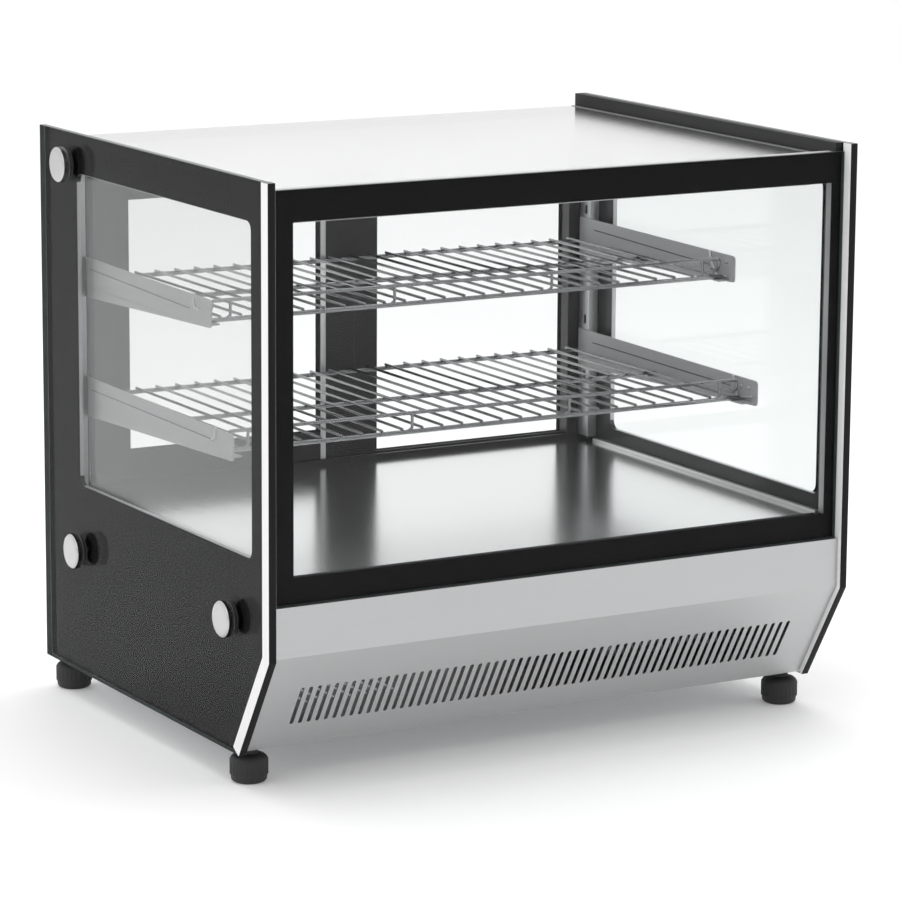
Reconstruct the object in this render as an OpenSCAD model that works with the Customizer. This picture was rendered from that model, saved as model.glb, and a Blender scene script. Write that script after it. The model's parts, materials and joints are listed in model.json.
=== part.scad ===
/* [Overall] */
// Overall width over the two side panels
body_w = 702; // [620:1:900]
// Depth of the side panels
body_d = 545; // [500:1:640]
// Height from the floor to the top of the side panels
body_h = 628; // [580:1:760]
// Gap between the floor and the side panels' lower edge
foot_h = 34; // [30:1:50]

/* [Side panels] */
// Thickness of a whole side, from outer face to inner pane
wall_t = 17; // [16:0.5:26]
// Thickness of the outer pane of a side
pane_t = 6; // [5:0.5:8]
// Thickness of every inner pane
inner_t = 4; // [3:0.5:5]
// Thickness of the black printed border, a layer behind the glass
print_t = 0.6; // [0.4:0.1:1]
// Height of the knee above the panel's lower edge
knee_h = 112; // [95:1:125]
// How far the front edge runs back from the knee to the lower corner
knee_back = 68; // [40:1:90]
// Depth of the edge trim's flanks
trim_d = 14; // [10:0.5:18]
// Sheet thickness of the edge trim
trim_t = 1.5; // [1:0.1:2]
// Rear margin of the side window
win_rear = 80.5; // [75:0.5:100]
// Front margin of the side window
win_front = 51; // [44:0.5:64]
// How far the spacer's opening runs on in front of the side window
win_ahead = 12; // [0:1:16]
// Top margin of the side window
win_top = 44; // [36:0.5:60]
// Corner radius of the side window
win_r = 10; // [4:1:20]
// Diameter of the round cap nuts
cap_dia = 38; // [28:1:44]
// How far a cap stands out from the trim's face
cap_out = 12; // [10:0.5:16]

/* [Front] */
// How far the front glass sits behind the trims' front
glass_back = 11; // [8:0.5:14]
// Thickness of the outer front pane and of the top pane
front_t = 5; // [4:0.5:6]
// Air gap in the insulated front and top glazing
glaze_gap = 9; // [6:0.5:12]
// Height of the front glass's lower edge above the panel's lower edge
sill_h = 166; // [158:1:176]
// Distance from the panel top down to the front glass's top edge
glass_top = 9; // [6:0.5:12]
// Height of the printed border along the front glass's top
band_top = 33.5; // [24:0.5:44]
// Height of the printed border along the front glass's foot
band_low = 26.5; // [22:0.5:30]
// Width of the printed border up the left side of the front glass
band_left = 27; // [18:0.5:34]
// Width of the printed border up the right side of the front glass
band_right = 12; // [9:0.5:30]
// Sheet thickness of the stainless front panel
sheet_t = 1.2; // [0.8:0.1:2]
// How far the front panel's face stands proud of the glass
proud = 5.5; // [3:0.5:8]
// Number of louver slots
slots = 61; // [31:2:61]
// Distance from the middle of one louver slot to the next
slot_pitch = 9.9; // [8:0.1:10.4]
// Width of a louver slot
slot_w = 4.4; // [3:0.1:5]
// Length of a louver slot
slot_len = 52; // [30:1:60]
// Distance from the knee's fold down to the top of the slots
slot_drop = 46; // [20:1:50]

/* [Deck and top] */
// Height of the deck's surface above the panel's lower edge
deck_h = 189; // [186:0.5:194]
// Distance from the panel top down to the top glass
top_drop = 14.5; // [10:0.5:20]

/* [Rear doors] */
// Depth of the rear frame with its two door tracks
frame_d = 32.5; // [30:0.5:36]
// Width of a rear post inside the cabinet
post_w = 26; // [22:0.5:36]
// Thickness of a door
door_t = 11; // [9:0.5:12]
// Width of the inner door's end stile
inner_stile = 48; // [40:0.5:54]
// Width of the inner door's meeting stile
inner_meet = 44.5; // [38:0.5:48]
// Width of the outer door's meeting stile
outer_meet = 51.5; // [42:0.5:56]
// Width of the outer door's end stile
outer_stile = 28; // [27:0.5:34]
// How far the inner door's edge passes the middle
inner_past = 25; // [18:0.5:28]
// Overlap of the two doors in the middle
overlap = 14.5; // [8:0.5:20]
// Running clearance between a door and its track, each side
door_gap = 0.75; // [0.4:0.05:1]
// Height of the doors' top edge below the panel top
door_top = 28; // [24:1:34]
// Thickness of the door glass
door_glass_t = 5; // [4:0.5:6]

/* [Shelves] */
// Height of the upper shelf above the panel's lower edge
upper_h = 426; // [400:1:450]
// Height of the lower shelf above the panel's lower edge
lower_h = 296.5; // [285:1:320]
// Depth of the upper shelf between its outer rods
upper_d = 302; // [240:1:330]
// Depth of the lower shelf between its outer rods
lower_d = 341; // [280:1:350]
// Diameter of the long shelf rods
rod_dia = 5; // [4:0.5:6]
// Diameter of the cross wires
wire_dia = 3.2; // [2.5:0.1:4]
// Number of cross wires in a shelf
wires = 26; // [16:2:26]
// Distance from one cross wire to the next
wire_pitch = 24.2; // [18:0.1:24.8]
// Height of the front guard rail above the shelf rods
guard_h = 20; // [14:1:26]

/* [Feet] */
// Diameter of a levelling foot
foot_dia = 40; // [30:1:44]
// Diameter of a foot's threaded stud
stud_dia = 8; // [6:1:10]

/* [Cooling] */
// Diameter of the compressor's shell
comp_dia = 116; // [90:1:120]
// Diameter of a fan's blades
fan_dia = 92; // [70:1:100]

/* [Controls] */
// Distance that a thermostat button travels
button_travel = 1; // [0.5:0.1:1.5]
// Diameter of a thermostat button
button_dia = 9; // [7:0.5:10]

/* [Hidden] */
$fn = 48;
yf = -body_d / 2;
yr = body_d / 2;
xo = body_w / 2;
z0 = foot_h;
panel_h = body_h - foot_h;
zt = body_h;
trim_w = pane_t + 2 * trim_t;
x_pane = xo - trim_t - pane_t;
x_print = x_pane - print_t;
x_in = xo - wall_t;
frame_y = yr - frame_d;
win_y0 = yf + win_front;
win_y1 = yr - win_rear;
win_z1 = zt - win_top;
z_deck = z0 + deck_h;
win_z0 = z_deck + 18.5;
// Faces of the front glazing, from the outside in
gy0 = yf + glass_back;
gy1 = gy0 + front_t;
gy2 = gy1 + print_t;
gy3 = gy2 + glaze_gap;
gy4 = gy3 + inner_t;
gz0 = z0 + sill_h;
gz1 = zt - glass_top;
x_glass = xo - trim_w - 0.5;
x_liner = x_in - 0.5;
// Faces of the top glazing, from the top down
tz0 = zt - top_drop;
tz1 = tz0 - front_t;
tz2 = tz1 - glaze_gap;
tz3 = tz2 - inner_t;
side_y0 = gy2 + 0.4;
// Rear frame: lips and door tracks
lip = 3;
z_sill = z_deck + 6.5;
track1_y = frame_y + lip;
track1_w = door_t + 2 * door_gap;
track2_y = track1_y + track1_w + 2;
track2_w = door_t + 2 * door_gap;
track1_z = z_deck;
track2_z = z_sill - 39.5;
header_z0 = zt - 46;
post_t = track2_y - frame_y - 2;
x_open = x_in - post_w;
door_z1 = zt - door_top;
glide_h = 2;
inner_x0 = -x_open + 2;
inner_x1 = inner_past;
outer_x0 = inner_past - overlap;
track_end = x_print - 0.4;
post_lip = 2.5;
outer_x1 = track_end - post_lip - 1;
rail_low = 36;
rail_top = 56;
rebate = 4;
inner_y = track1_y + door_gap;
outer_y = track2_y + door_gap;
inner_pull_x = inner_x0 + inner_stile / 2;
outer_pull_x = outer_x1 - outer_stile / 2 + 1;
handle_z = z0 + 330;
handle_l = 120;
// Shelves and brackets
shelf_rear = frame_y - 8;
upright_d = 22;
upright_w = 12;
upright_y = frame_y - 2 - upright_d;
upright_x = x_in - upright_w;
upright_t = 1.5;
plate_t = 1.5;
bracket_x = upright_x - plate_t;
rod_end = bracket_x - 3;
ledge_w = 14;
tab_h = 9;
// Base: tray, machine bay and well
tray_z = z0 + 2;
tray_t = 1.5;
tray_x = x_print - 0.6;
bay_x = 112;
well_t = 14;
well_h = 84;
well_z = z_deck - 1.5 - well_h;
foot_x = xo - 23;
foot_y0 = yf + knee_back + 22;
foot_y1 = yr - 25;
puck_h = foot_h - 4;
comp_x = 250;
comp_y = 120;
comp_h = 112;
fan_t = 24;
cond_y = yf + knee_back + 46;
cfan_x = 230;
cfan_y = cond_y + 44;
cfan_z = z0 + 90;
// Cooling coil in the well and the fan behind it
evap_x0 = -x_liner + 26;
evap_x1 = bay_x - 36;
evap_y0 = -150;
evap_y1 = -90;
evap_fan_dia = 52;
efan_x = (evap_x0 + evap_x1) / 2;
efan_y = evap_y1 + 2;
efan_z = well_z + well_h / 2 + 6;
// Control panel
ctl_x0 = -286;
ctl_w = 176;
ctl_z0 = z0 + 62;
ctl_h = 60;
rear_y = yr - 7;
rear_t = 1.5;
ctl_y0 = rear_y - 8;
ctl_y1 = yr - 3;
pivot_y = ctl_y1 - 5.5;
rocker_gap = 1.4;
ctl_mid = ctl_z0 + ctl_h / 2;
rocker_w = 15;
rocker_h = 26;
rocker_x = [ctl_x0 + 22, ctl_x0 + 48];
display_x = ctl_x0 + 66;
display_w = 42;
button_x = [ctl_x0 + 122, ctl_x0 + 140, ctl_x0 + 158];
gland_x = 290;
gland_z = z0 + 40;
cap_pos = [[yr - 71.5, zt - 35], [yr - 95, z0 + 138], [yf + 85.5, z0 + 141]];
stand_off = 5;

// ---- Shared shapes ----

// A block from one corner to the other
module block(x, y, z) {
    translate([x[0], y[0], z[0]]) cube([x[1] - x[0], y[1] - y[0], z[1] - z[0]]);
}

// A side-view outline in the Y-Z plane, given thickness along X from x0 to x1
module slab(x0, x1) {
    translate([x0, 0, 0]) rotate([90, 0, 90]) linear_extrude(x1 - x0) children();
}

// The front edge of a side panel, moved inwards by d: top, knee and lower corner
function edge(d) = let (l = sqrt(knee_h * knee_h + knee_back * knee_back)) [
    [yf + d, zt],
    [yf + d, z0 + knee_h + d * (l - knee_h) / knee_back],
    [yf + knee_back + d * l / knee_h, z0]];

// Side-panel outline behind a front edge that is moved inwards by d
module panel_outline(d) {
    polygon(concat(edge(d), [[yr, z0], [yr, zt]]));
}

// Rectangle with round corners between two corners
module round_rect(a, b, r) {
    w = b[0] - a[0];
    h = b[1] - a[1];
    translate([a[0] + r, a[1]]) square([w - 2 * r, h]);
    translate([a[0], a[1] + r]) square([w, h - 2 * r]);
    for (x = [a[0] + r, b[0] - r], y = [a[1] + r, b[1] - r]) translate([x, y]) circle(r);
}

// The side window's opening, run on ahead of its front edge by d
module window_outline(d) {
    round_rect([win_y0 - d, win_z0], [win_y1, win_z1], win_r);
}

// Mirrors a right-hand piece to the side asked for: 1 right, -1 left
module side(s) {
    if (s > 0) children();
    else mirror([1, 0, 0]) children();
}

// ---- Side panels ----

module side_glass(s) {
    color("#26282b") side(s) difference() {
        slab(x_pane, x_pane + pane_t) panel_outline(trim_t);
        for (p = cap_pos) translate([x_pane - 1, p[0], p[1]]) rotate([0, 90, 0])
            cylinder(h = pane_t + 2, d = 8);
    }
}

module side_border(s) {
    color("#141215") side(s) difference() {
        slab(x_print, x_pane) difference() {
            panel_outline(trim_d);
            window_outline(0);
        }
        for (p = cap_pos) translate([x_print - 1, p[0], p[1]]) rotate([0, 90, 0])
            cylinder(h = print_t + 2, d = 8);
    }
}

module side_spacer(s) {
    color("#1b1a1d") side(s) difference() {
        union() {
            slab(x_in + inner_t, x_print) difference() {
                round_rect([side_y0, z0 + 124], [frame_y, tz1], 0.01);
                window_outline(win_ahead);
            }
            if (s > 0) block([x_in, x_print], [side_y0, yr], [tz1, zt]);
        }
        for (p = cap_pos) translate([x_print - 3, p[0], p[1]]) rotate([0, 90, 0]) cylinder(h = 4, d = 6);
    }
}

module side_inner_glass(s) {
    color("lightcyan", 0.3) side(s)
        block([x_in, x_in + inner_t], [side_y0, frame_y], [z_deck, tz1]);
}

module edge_trim(s) {
    color("white") side(s) difference() {
        slab(xo - trim_w, xo) polygon(concat(edge(0), [for (i = [2:-1:0]) edge(trim_d)[i]]));
        slab(x_pane, x_pane + pane_t) polygon(concat(edge(trim_t), [for (i = [2:-1:0]) edge(trim_d + 1)[i]]));
    }
}

// A cap nut: a domed-edge disc on a stud that screws into the side's spacer
module cap_nut() {
    rotate_extrude() polygon([[0, -9.4], [3, -9.4], [3, stand_off], [cap_dia / 2, stand_off],
        [cap_dia / 2, cap_out + trim_t - 1.2], [cap_dia / 2 - 1.2, cap_out + trim_t], [0, cap_out + trim_t]]);
}

module side_caps() {
    color("silver") for (s = [1, -1]) side(s) for (p = cap_pos)
        translate([x_pane + pane_t, p[0], p[1]]) rotate([0, 90, 0]) cap_nut();
}

module cap_washers() {
    color("black") for (s = [1, -1]) side(s) for (p = cap_pos)
        translate([x_pane + pane_t, p[0], p[1]]) rotate([0, 90, 0]) difference() {
            cylinder(h = stand_off, d = cap_dia - 5);
            translate([0, 0, -1]) cylinder(h = stand_off + 2, d = 6);
        }
}

// ---- Front and top glazing ----

module front_glass() {
    color("lightcyan", 0.3) block([-x_glass, x_glass], [gy0, gy1], [gz0, gz1]);
}

module front_border() {
    color("#141015") difference() {
        block([-x_glass, x_glass], [gy1, gy2], [gz0, gz1]);
        block([-x_glass + band_left, x_glass - band_right], [gy1 - 1, gy2 + 1],
            [gz0 + band_low, gz1 - band_top]);
    }
}

module front_inner_glass() {
    color("lightcyan", 0.3) block([-x_liner, x_liner], [gy3, gy4], [gz0 + 2, tz1 - 1]);
}

module top_glass() {
    color("lightcyan", 0.3) block([0.5 - x_print, x_liner], [side_y0, yr - 0.5], [tz1, tz0]);
}

module top_inner_glass() {
    color("lightcyan", 0.3) block([-x_liner, x_liner], [gy4 + 0.5, frame_y - 0.4], [tz3, tz2]);
}

module glazing_spacers() {
    color("#2a2a2d") {
        difference() {
            block([-x_liner, x_liner], [gy2, gy3], [gz0 + 2, tz1 - 1]);
            block([-x_liner + 3.5, x_liner - 3.5], [gy2 - 1, gy3 + 1], [gz0 + band_low - 3, tz1 - 21]);
        }
        difference() {
            block([-x_liner, x_liner], [gy4 + 0.5, frame_y - 0.4], [tz2, tz1]);
            block([-x_liner + 9, x_liner - 9], [gy4 + 9.5, frame_y - 12], [tz2 - 1, tz1 + 1]);
        }
    }
}

// ---- Stainless front panel ----

module louver(x) {
    translate([x, 0]) {
        translate([-slot_w / 2, slot_w / 2]) square([slot_w, slot_len - slot_w]);
        translate([0, slot_w / 2]) circle(d = slot_w, $fn = 24);
        translate([0, slot_len - slot_w / 2]) circle(d = slot_w, $fn = 24);
    }
}

module front_panel() {
    d0 = glass_back - proud;
    a = edge(d0);
    b = edge(d0 + sheet_t);
    tilt = atan(knee_back / knee_h);
    run = norm(a[2] - a[1]);
    color("#b9bcbf") {
        slab(-x_glass, x_glass) polygon([a[1], [a[0][0], gz0 - 0.2], [gy1, gz0 - 0.2],
            [gy1, gz0 - 0.2 - sheet_t], [b[0][0], gz0 - 0.2 - sheet_t], b[1]]);
        translate([0, a[1][0], a[1][1]]) rotate([90 + tilt, 0, 0]) mirror([0, 1, 0])
            translate([0, 0, -sheet_t]) linear_extrude(sheet_t) difference() {
                translate([-x_glass, 0]) square([2 * x_glass, run - 3]);
                for (i = [0:slots - 1]) translate([0, slot_drop]) louver((i - (slots - 1) / 2) * slot_pitch);
            }
    }
}

// ---- Base ----

module base_tray() {
    y0 = yf + knee_back + glass_back + 6;
    color("#8d9093") difference() {
        union() {
            block([-tray_x, tray_x], [y0, rear_y - 1], [tray_z, tray_z + tray_t]);
            for (s = [1, -1]) side(s) block([tray_x - tray_t, tray_x], [y0, rear_y - 1], [tray_z, z0 + 122]);
        }
        for (x = [-foot_x, foot_x], y = [foot_y0, foot_y1])
            translate([x, y, tray_z - 1]) cylinder(h = tray_t + 2, d = stud_dia + 0.16);
        for (i = [-4:4]) translate([i * 18 - 160, 0, tray_z - 1]) block([-3, 3], [-60, 60], [0, tray_t + 2]);
    }
}

module rear_panel() {
    top = track2_z - 6.5;
    color("#8d9093") difference() {
        block([-x_print + 1, x_print - 1], [rear_y, rear_y + rear_t], [z0 + 4, top]);
        block([ctl_x0 + 4, ctl_x0 + ctl_w - 4], [rear_y - 1, rear_y + 3], [ctl_z0 + 4, ctl_z0 + ctl_h - 4]);
        translate([gland_x, rear_y - 1, gland_z]) rotate([-90, 0, 0]) cylinder(h = 4, d = 20);
        for (i = [0:17]) block([-60 + i * 17, -52 + i * 17], [rear_y - 1, rear_y + 3], [z0 + 36, z0 + 106]);
    }
}

module insulated_well() {
    color("#d9dadb") difference() {
        block([-x_liner + 4, bay_x - 8], [gy4 + 12, frame_y - 6], [well_z, z_deck - 1.6]);
        block([-x_liner + 4 + well_t, bay_x - 8 - well_t], [gy4 + 12 + well_t, frame_y - 6 - well_t],
            [well_z + well_t, z_deck]);
        translate([-60, 150, well_z - 1]) cylinder(h = well_t + 2, d = 10);
    }
}

module foot(x, y) {
    color("#1d1d1f") translate([x, y, 0]) rotate_extrude() polygon([[0, 0], [foot_dia / 2 - 4, 0],
        [foot_dia / 2 - 1.5, 2], [foot_dia / 2, 6], [foot_dia / 2, puck_h - 2], [foot_dia / 2 - 2, puck_h],
        [9, puck_h], [9, tray_z - 0.1], [stud_dia / 2, tray_z - 0.1], [stud_dia / 2, tray_z + 14],
        [0, tray_z + 14]]);
}

// ---- Deck ----

module deck_plate() {
    color("#e6e7e9") block([-x_liner, x_liner], [gy4 + 0.5, frame_y], [z_deck - 1.5, z_deck]);
}

module deck_trim() {
    color("#c9cbcd") for (s = [1, -1]) side(s)
        block([x_liner - 5, x_liner], [gy4 + 1, upright_y - 1], [z_deck, z_deck + 4]);
}

// ---- Rear frame and doors ----

module rear_posts() {
    color("#1a181b") for (s = [1, -1]) side(s) {
        block([x_open, track_end], [frame_y, frame_y + post_t], [z_sill, tz1]);
        block([track_end - post_lip, track_end], [frame_y + post_t, yr], [z_sill, tz1]);
    }
}

// Section of a track member: lips and grooves; the sill's outer groove is the deeper one
module rear_sill() {
    t1 = [track1_y, track1_y + track1_w];
    t2 = [track2_y, track2_y + track2_w];
    color("#1f1d20") slab(-track_end, track_end) polygon([[frame_y, track2_z - 6], [yr, track2_z - 6],
        [yr, track2_z + 6], [t2[1], track2_z + 6], [t2[1], track2_z], [t2[0], track2_z], [t2[0], z_sill],
        [t1[1], z_sill], [t1[1], track1_z], [t1[0], track1_z], [t1[0], z_sill], [frame_y, z_sill]]);
}

module rear_header() {
    groove = door_z1 + 5;
    mid_y = frame_y + post_t;
    end = track_end - post_lip;
    color("#1a181b") difference() {
        union() {
            block([-x_open, x_open], [frame_y, mid_y], [header_z0, tz1]);
            block([-end, end], [mid_y, yr], [header_z0, tz1]);
        }
        block([-x_open - 1, x_open + 1], [track1_y, track1_y + track1_w], [header_z0 - 1, groove]);
        block([-end - 1, end + 1], [track2_y, track2_y + track2_w], [header_z0 - 1, groove]);
    }
}

// A door's frame: two stiles, two rails, a glass groove, a pocket for the pull and two glides
module door_frame(x0, x1, y0, z_low, stile_l, stile_r, pull_x) {
    y1 = y0 + door_t;
    zb = z_low + glide_h;
    gy = y0 + (door_t - door_glass_t) / 2;
    difference() {
        block([x0, x1], [y0, y1], [zb, door_z1]);
        block([x0 + stile_l, x1 - stile_r], [y0 - 1, y1 + 1], [zb + rail_low, door_z1 - rail_top]);
        block([x0 + stile_l - rebate, x1 - stile_r + rebate], [gy, gy + door_glass_t],
            [zb + rail_low - rebate, door_z1 - rail_top + rebate]);
        block([pull_x - 10, pull_x + 10], [y1 - 7, y1 + 1], [handle_z, handle_z + handle_l]);
    }
    for (x = [x0 + 14, x1 - 44]) block([x, x + 30], [y0 + 2, y1 - 2], [z_low + 0.1, zb]);
}

module door_glass(x0, x1, y0, z_low, stile_l, stile_r) {
    gy = y0 + (door_t - door_glass_t) / 2;
    zb = z_low + glide_h;
    color("lightcyan", 0.3) block([x0 + stile_l - rebate, x1 - stile_r + rebate],
        [gy, gy + door_glass_t], [zb + rail_low - rebate, door_z1 - rail_top + rebate]);
}

// A finger pull: a cup set flush in a pocket of the stile
module door_pull(x, y0) {
    y1 = y0 + door_t;
    color("#b5b7ba") difference() {
        block([x - 10, x + 10], [y1 - 7, y1], [handle_z, handle_z + handle_l]);
        block([x - 7.5, x + 7.5], [y1 - 5.5, y1 + 1], [handle_z + 3, handle_z + handle_l - 3]);
    }
}

module inner_door_frame() {
    color("#161417") door_frame(inner_x0, inner_x1, inner_y, track1_z, inner_stile, inner_meet, inner_pull_x);
}

module inner_door_glass() {
    door_glass(inner_x0, inner_x1, inner_y, track1_z, inner_stile, inner_meet);
}

module outer_door_frame() {
    color("#161417") door_frame(outer_x0, outer_x1, outer_y, track2_z, outer_meet, outer_stile, outer_pull_x);
}

module outer_door_glass() {
    door_glass(outer_x0, outer_x1, outer_y, track2_z, outer_meet, outer_stile);
}

module inner_door_pull() { door_pull(inner_pull_x, inner_y); }
module outer_door_pull() { door_pull(outer_pull_x, outer_y); }

// ---- Shelves ----

module shelf_uprights() {
    zb = z_deck + 6;
    h = tz3 - 2 - zb;
    color("#b7babc") for (s = [1, -1]) side(s) difference() {
        block([upright_x, x_in - 0.1], [upright_y, upright_y + upright_d], [zb, zb + h]);
        block([upright_x + upright_t, x_in + 1], [upright_y + upright_t, upright_y + upright_d - upright_t],
            [zb - 1, zb + h + 1]);
        for (z = [lower_h, upper_h]) for (k = [-2:1:1])
            block([upright_x - 1, upright_x + 2], [upright_y + 6.5, upright_y + 11.5],
                [z0 + z + k * 22 - 0.5 + 11, z0 + z + k * 22 + tab_h + 0.5 + 11]);
    }
}

// A bracket: tapered plate with a ledge for the shelf rods and two hooks for the upright
module bracket(z, reach, drop_rear, drop_front, rise) {
    front = shelf_rear - reach;
    r = 4;
    ledge_z = z - rod_dia / 2 - 0.1;
    slab(bracket_x, bracket_x + plate_t) difference() {
        polygon([[upright_y + upright_d - 1, z - drop_rear], [upright_y + upright_d - 1, z + rise + 0.5],
            [front + r, z + rise - 3], [front + 1.2, z + rise - 4.2], [front, z + rise - 7],
            [front, z - drop_front + r], [front + 1.2, z - drop_front + 1.2], [front + r, z - drop_front]]);
        translate([upright_y + 3, z - 4]) circle(d = 3);
    }
    block([bracket_x - ledge_w, bracket_x], [front + 10, upright_y - 2], [ledge_z - plate_t, ledge_z]);
    for (k = [-1, 0])
        block([bracket_x + plate_t, upright_x + 2.8], [upright_y + 7, upright_y + 11],
            [z + k * 22 + 11, z + k * 22 + 11 + tab_h]);
}

module upper_brackets() {
    color("#8c8f92") for (s = [1, -1]) side(s) bracket(z0 + upper_h, upper_d + 19, 17, 5, 27.5);
}

module lower_brackets() {
    color("#8c8f92") for (s = [1, -1]) side(s) bracket(z0 + lower_h, lower_d + 29, 19.5, 6, 25);
}

module bar_x(x0, x1, y, z, d) {
    translate([x0, y, z]) rotate([0, 90, 0]) cylinder(h = x1 - x0, d = d, $fn = 16);
}

// A wire shelf: long rods, cross wires on top, and a front guard rail on short ties
module wire_shelf(z, depth) {
    y0 = shelf_rear - depth;
    wz = z + rod_dia / 2 + wire_dia / 2 - 0.5;
    half = min(wires / 2, floor((rod_end - 4) / wire_pitch + 0.5));
    for (y = [y0, (y0 + shelf_rear) / 2, shelf_rear]) bar_x(-rod_end, rod_end, y, z, rod_dia);
    for (i = [0.5 - half:half - 0.5]) translate([i * wire_pitch, y0 - 1, wz]) rotate([-90, 0, 0])
        cylinder(h = depth + 5, d = wire_dia, $fn = 16);
    bar_x(-rod_end + 4, rod_end - 4, y0, z + guard_h, rod_dia - 1);
    for (i = [1 - half, -4, 4, half - 1]) translate([i * wire_pitch, y0, z])
        cylinder(h = guard_h, d = wire_dia, $fn = 16);
}

module upper_shelf() {
    color("#9a9da0") wire_shelf(z0 + upper_h, upper_d);
}

module lower_shelf() {
    color("#9a9da0") wire_shelf(z0 + lower_h, lower_d);
}

// ---- Lamp ----

module lamp_housing() {
    color("#d0d2d4") difference() {
        block([-x_liner + 20, x_liner - 20], [gy4 + 1, gy4 + 23], [tz3 - 13, tz3 - 0.3]);
        block([-x_liner + 22, x_liner - 22], [gy4 + 3, gy4 + 21], [tz3 - 14, tz3 - 2.3]);
    }
}

module lamp_tube() {
    color("#fdfdf4") bar_x(-x_liner + 22.5, x_liner - 22.5, gy4 + 12, tz3 - 8, 11);
}

// ---- Cooling ----

// A fan frame: square plate with a round duct, motor hub on spokes and an axle pin along Y
module fan_frame(d, t) {
    w = d + 12;
    difference() {
        block([-w / 2, w / 2], [0, t], [-w / 2, w / 2]);
        translate([0, -1, 0]) rotate([-90, 0, 0]) cylinder(h = t + 2, d = d + 4);
    }
    translate([0, t - 8, 0]) rotate([-90, 0, 0]) cylinder(h = 8, d = d * 0.34);
    for (a = [45:90:315]) rotate([0, a, 0]) block([d * 0.14, d / 2 + 3], [t - 4, t - 1], [-2.5, 2.5]);
    translate([0, 3, 0]) rotate([-90, 0, 0]) cylinder(h = t - 10, d = 4);
}

// Fan blades: a hub with a bore that turns on the pin, and flat blades set at an angle
module fan_blades(d, t) {
    difference() {
        union() {
            translate([0, 3, 0]) rotate([-90, 0, 0]) cylinder(h = t - 12, d = d * 0.32);
            for (a = [0:51.43:309]) rotate([0, a, 0]) translate([d * 0.14, t / 2 - 1, 0]) rotate([32, 0, 0])
                block([0, d * 0.36], [-0.9, 0.9], [-t * 0.28, t * 0.28]);
        }
        translate([0, 2, 0]) rotate([-90, 0, 0]) cylinder(h = t, d = 4.1);
    }
}

// A finned coil: thin plates on straight tubes with return bends
module coil(x0, x1, y0, y1, z_low, z1, n) {
    for (i = [0:n - 1]) translate([x0 + 8 + (x1 - x0 - 17) * i / (n - 1), 0, 0])
        block([0, 1], [y0, y1], [z_low, z1]);
    for (k = [0:2]) bar_x(x0 + 2, x1 - 2, (y0 + y1) / 2, z_low + (z1 - z_low) * (0.2 + 0.3 * k), 7);
    for (x = [x0, x1 - 3]) block([x, x + 3], [y0, y1], [z_low, z1]);
}

module evaporator() {
    color("#c4c7ca") coil(evap_x0, evap_x1, evap_y0, evap_y1, well_z + well_t + 1, z_deck - 8, 30);
}

module evaporator_fan() {
    color("#2b2d30") translate([efan_x, efan_y, efan_z]) fan_frame(evap_fan_dia, fan_t);
}

module evaporator_blade() {
    color("#3a3d42") translate([efan_x, efan_y, efan_z]) fan_blades(evap_fan_dia, fan_t);
}

module condenser() {
    color("#b3b6b8") coil(bay_x + 8, x_liner - 16, cond_y, cond_y + 36, z0 + 36, z0 + 144, 34);
}

module condenser_fan() {
    color("#2b2d30") translate([cfan_x, cfan_y, cfan_z]) fan_frame(fan_dia, fan_t + 4);
}

module condenser_blade() {
    color("#3a3d42") translate([cfan_x, cfan_y, cfan_z]) fan_blades(fan_dia, fan_t + 4);
}

// Compressor: welded shell with a domed top and foot plate, stub for the terminal cover
module compressor() {
    r = comp_dia / 2;
    zb = tray_z + tray_t + 14;
    color("#1c1d1f") translate([comp_x, comp_y, zb]) {
        rotate_extrude() polygon([[0, 0], [r - 14, 0], [r - 4, 5], [r, 16], [r, comp_h * 0.55],
            [r - 2, comp_h * 0.75], [r - 14, comp_h * 0.92], [r - 34, comp_h], [0, comp_h]]);
        block([-r - 12, r + 12], [-r * 0.8, r * 0.8], [-3, 0.5]);
    }
}

module compressor_mounts() {
    r = comp_dia / 2;
    color("#2a2a2a") for (x = [-r - 4, r + 4], y = [-r * 0.62, r * 0.62])
        translate([comp_x + x, comp_y + y, tray_z + tray_t]) difference() {
            cylinder(h = 11, d = 15);
            translate([0, 0, 4]) cylinder(h = 8, d = 5);
        }
}

// A pipe along straight legs between points, with a ball at each turn
module pipe(pts, d) {
    for (i = [0:len(pts) - 2]) {
        v = pts[i + 1] - pts[i];
        translate(pts[i]) rotate([0, acos(v[2] / norm(v)), atan2(v[1], v[0])]) cylinder(h = norm(v), d = d);
        if (i > 0) translate(pts[i]) sphere(d = d);
    }
}

// Discharge, liquid and suction lines, with the filter drier in the liquid line
module pipes() {
    top = tray_z + tray_t + 14 + comp_h;
    coil_y = cond_y + 18;
    high = z0 + 152;
    end_x = bay_x + 8;
    color("#b87333") {
        pipe([[comp_x, comp_y - 14, top], [comp_x, comp_y - 14, high], [comp_x, coil_y, high],
            [comp_x, coil_y, z0 + 144]], 6);
        pipe([[comp_x, comp_y + 14, top], [comp_x, comp_y + 14, high], [bay_x - 8, comp_y + 14, high]], 8);
        pipe([[end_x, coil_y, z0 + 70], [end_x - 9, coil_y, z0 + 70], [end_x - 9, coil_y + 50, z0 + 70]], 6);
        translate([end_x - 9, coil_y + 50, z0 + 70]) rotate([-90, 0, 0]) cylinder(h = 55, d = 18);
        pipe([[end_x - 9, coil_y + 105, z0 + 70], [end_x - 9, coil_y + 125, z0 + 70],
            [80, coil_y + 125, z0 + 70], [80, coil_y + 125, well_z]], 5);
    }
}

// ---- Controls ----

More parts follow.
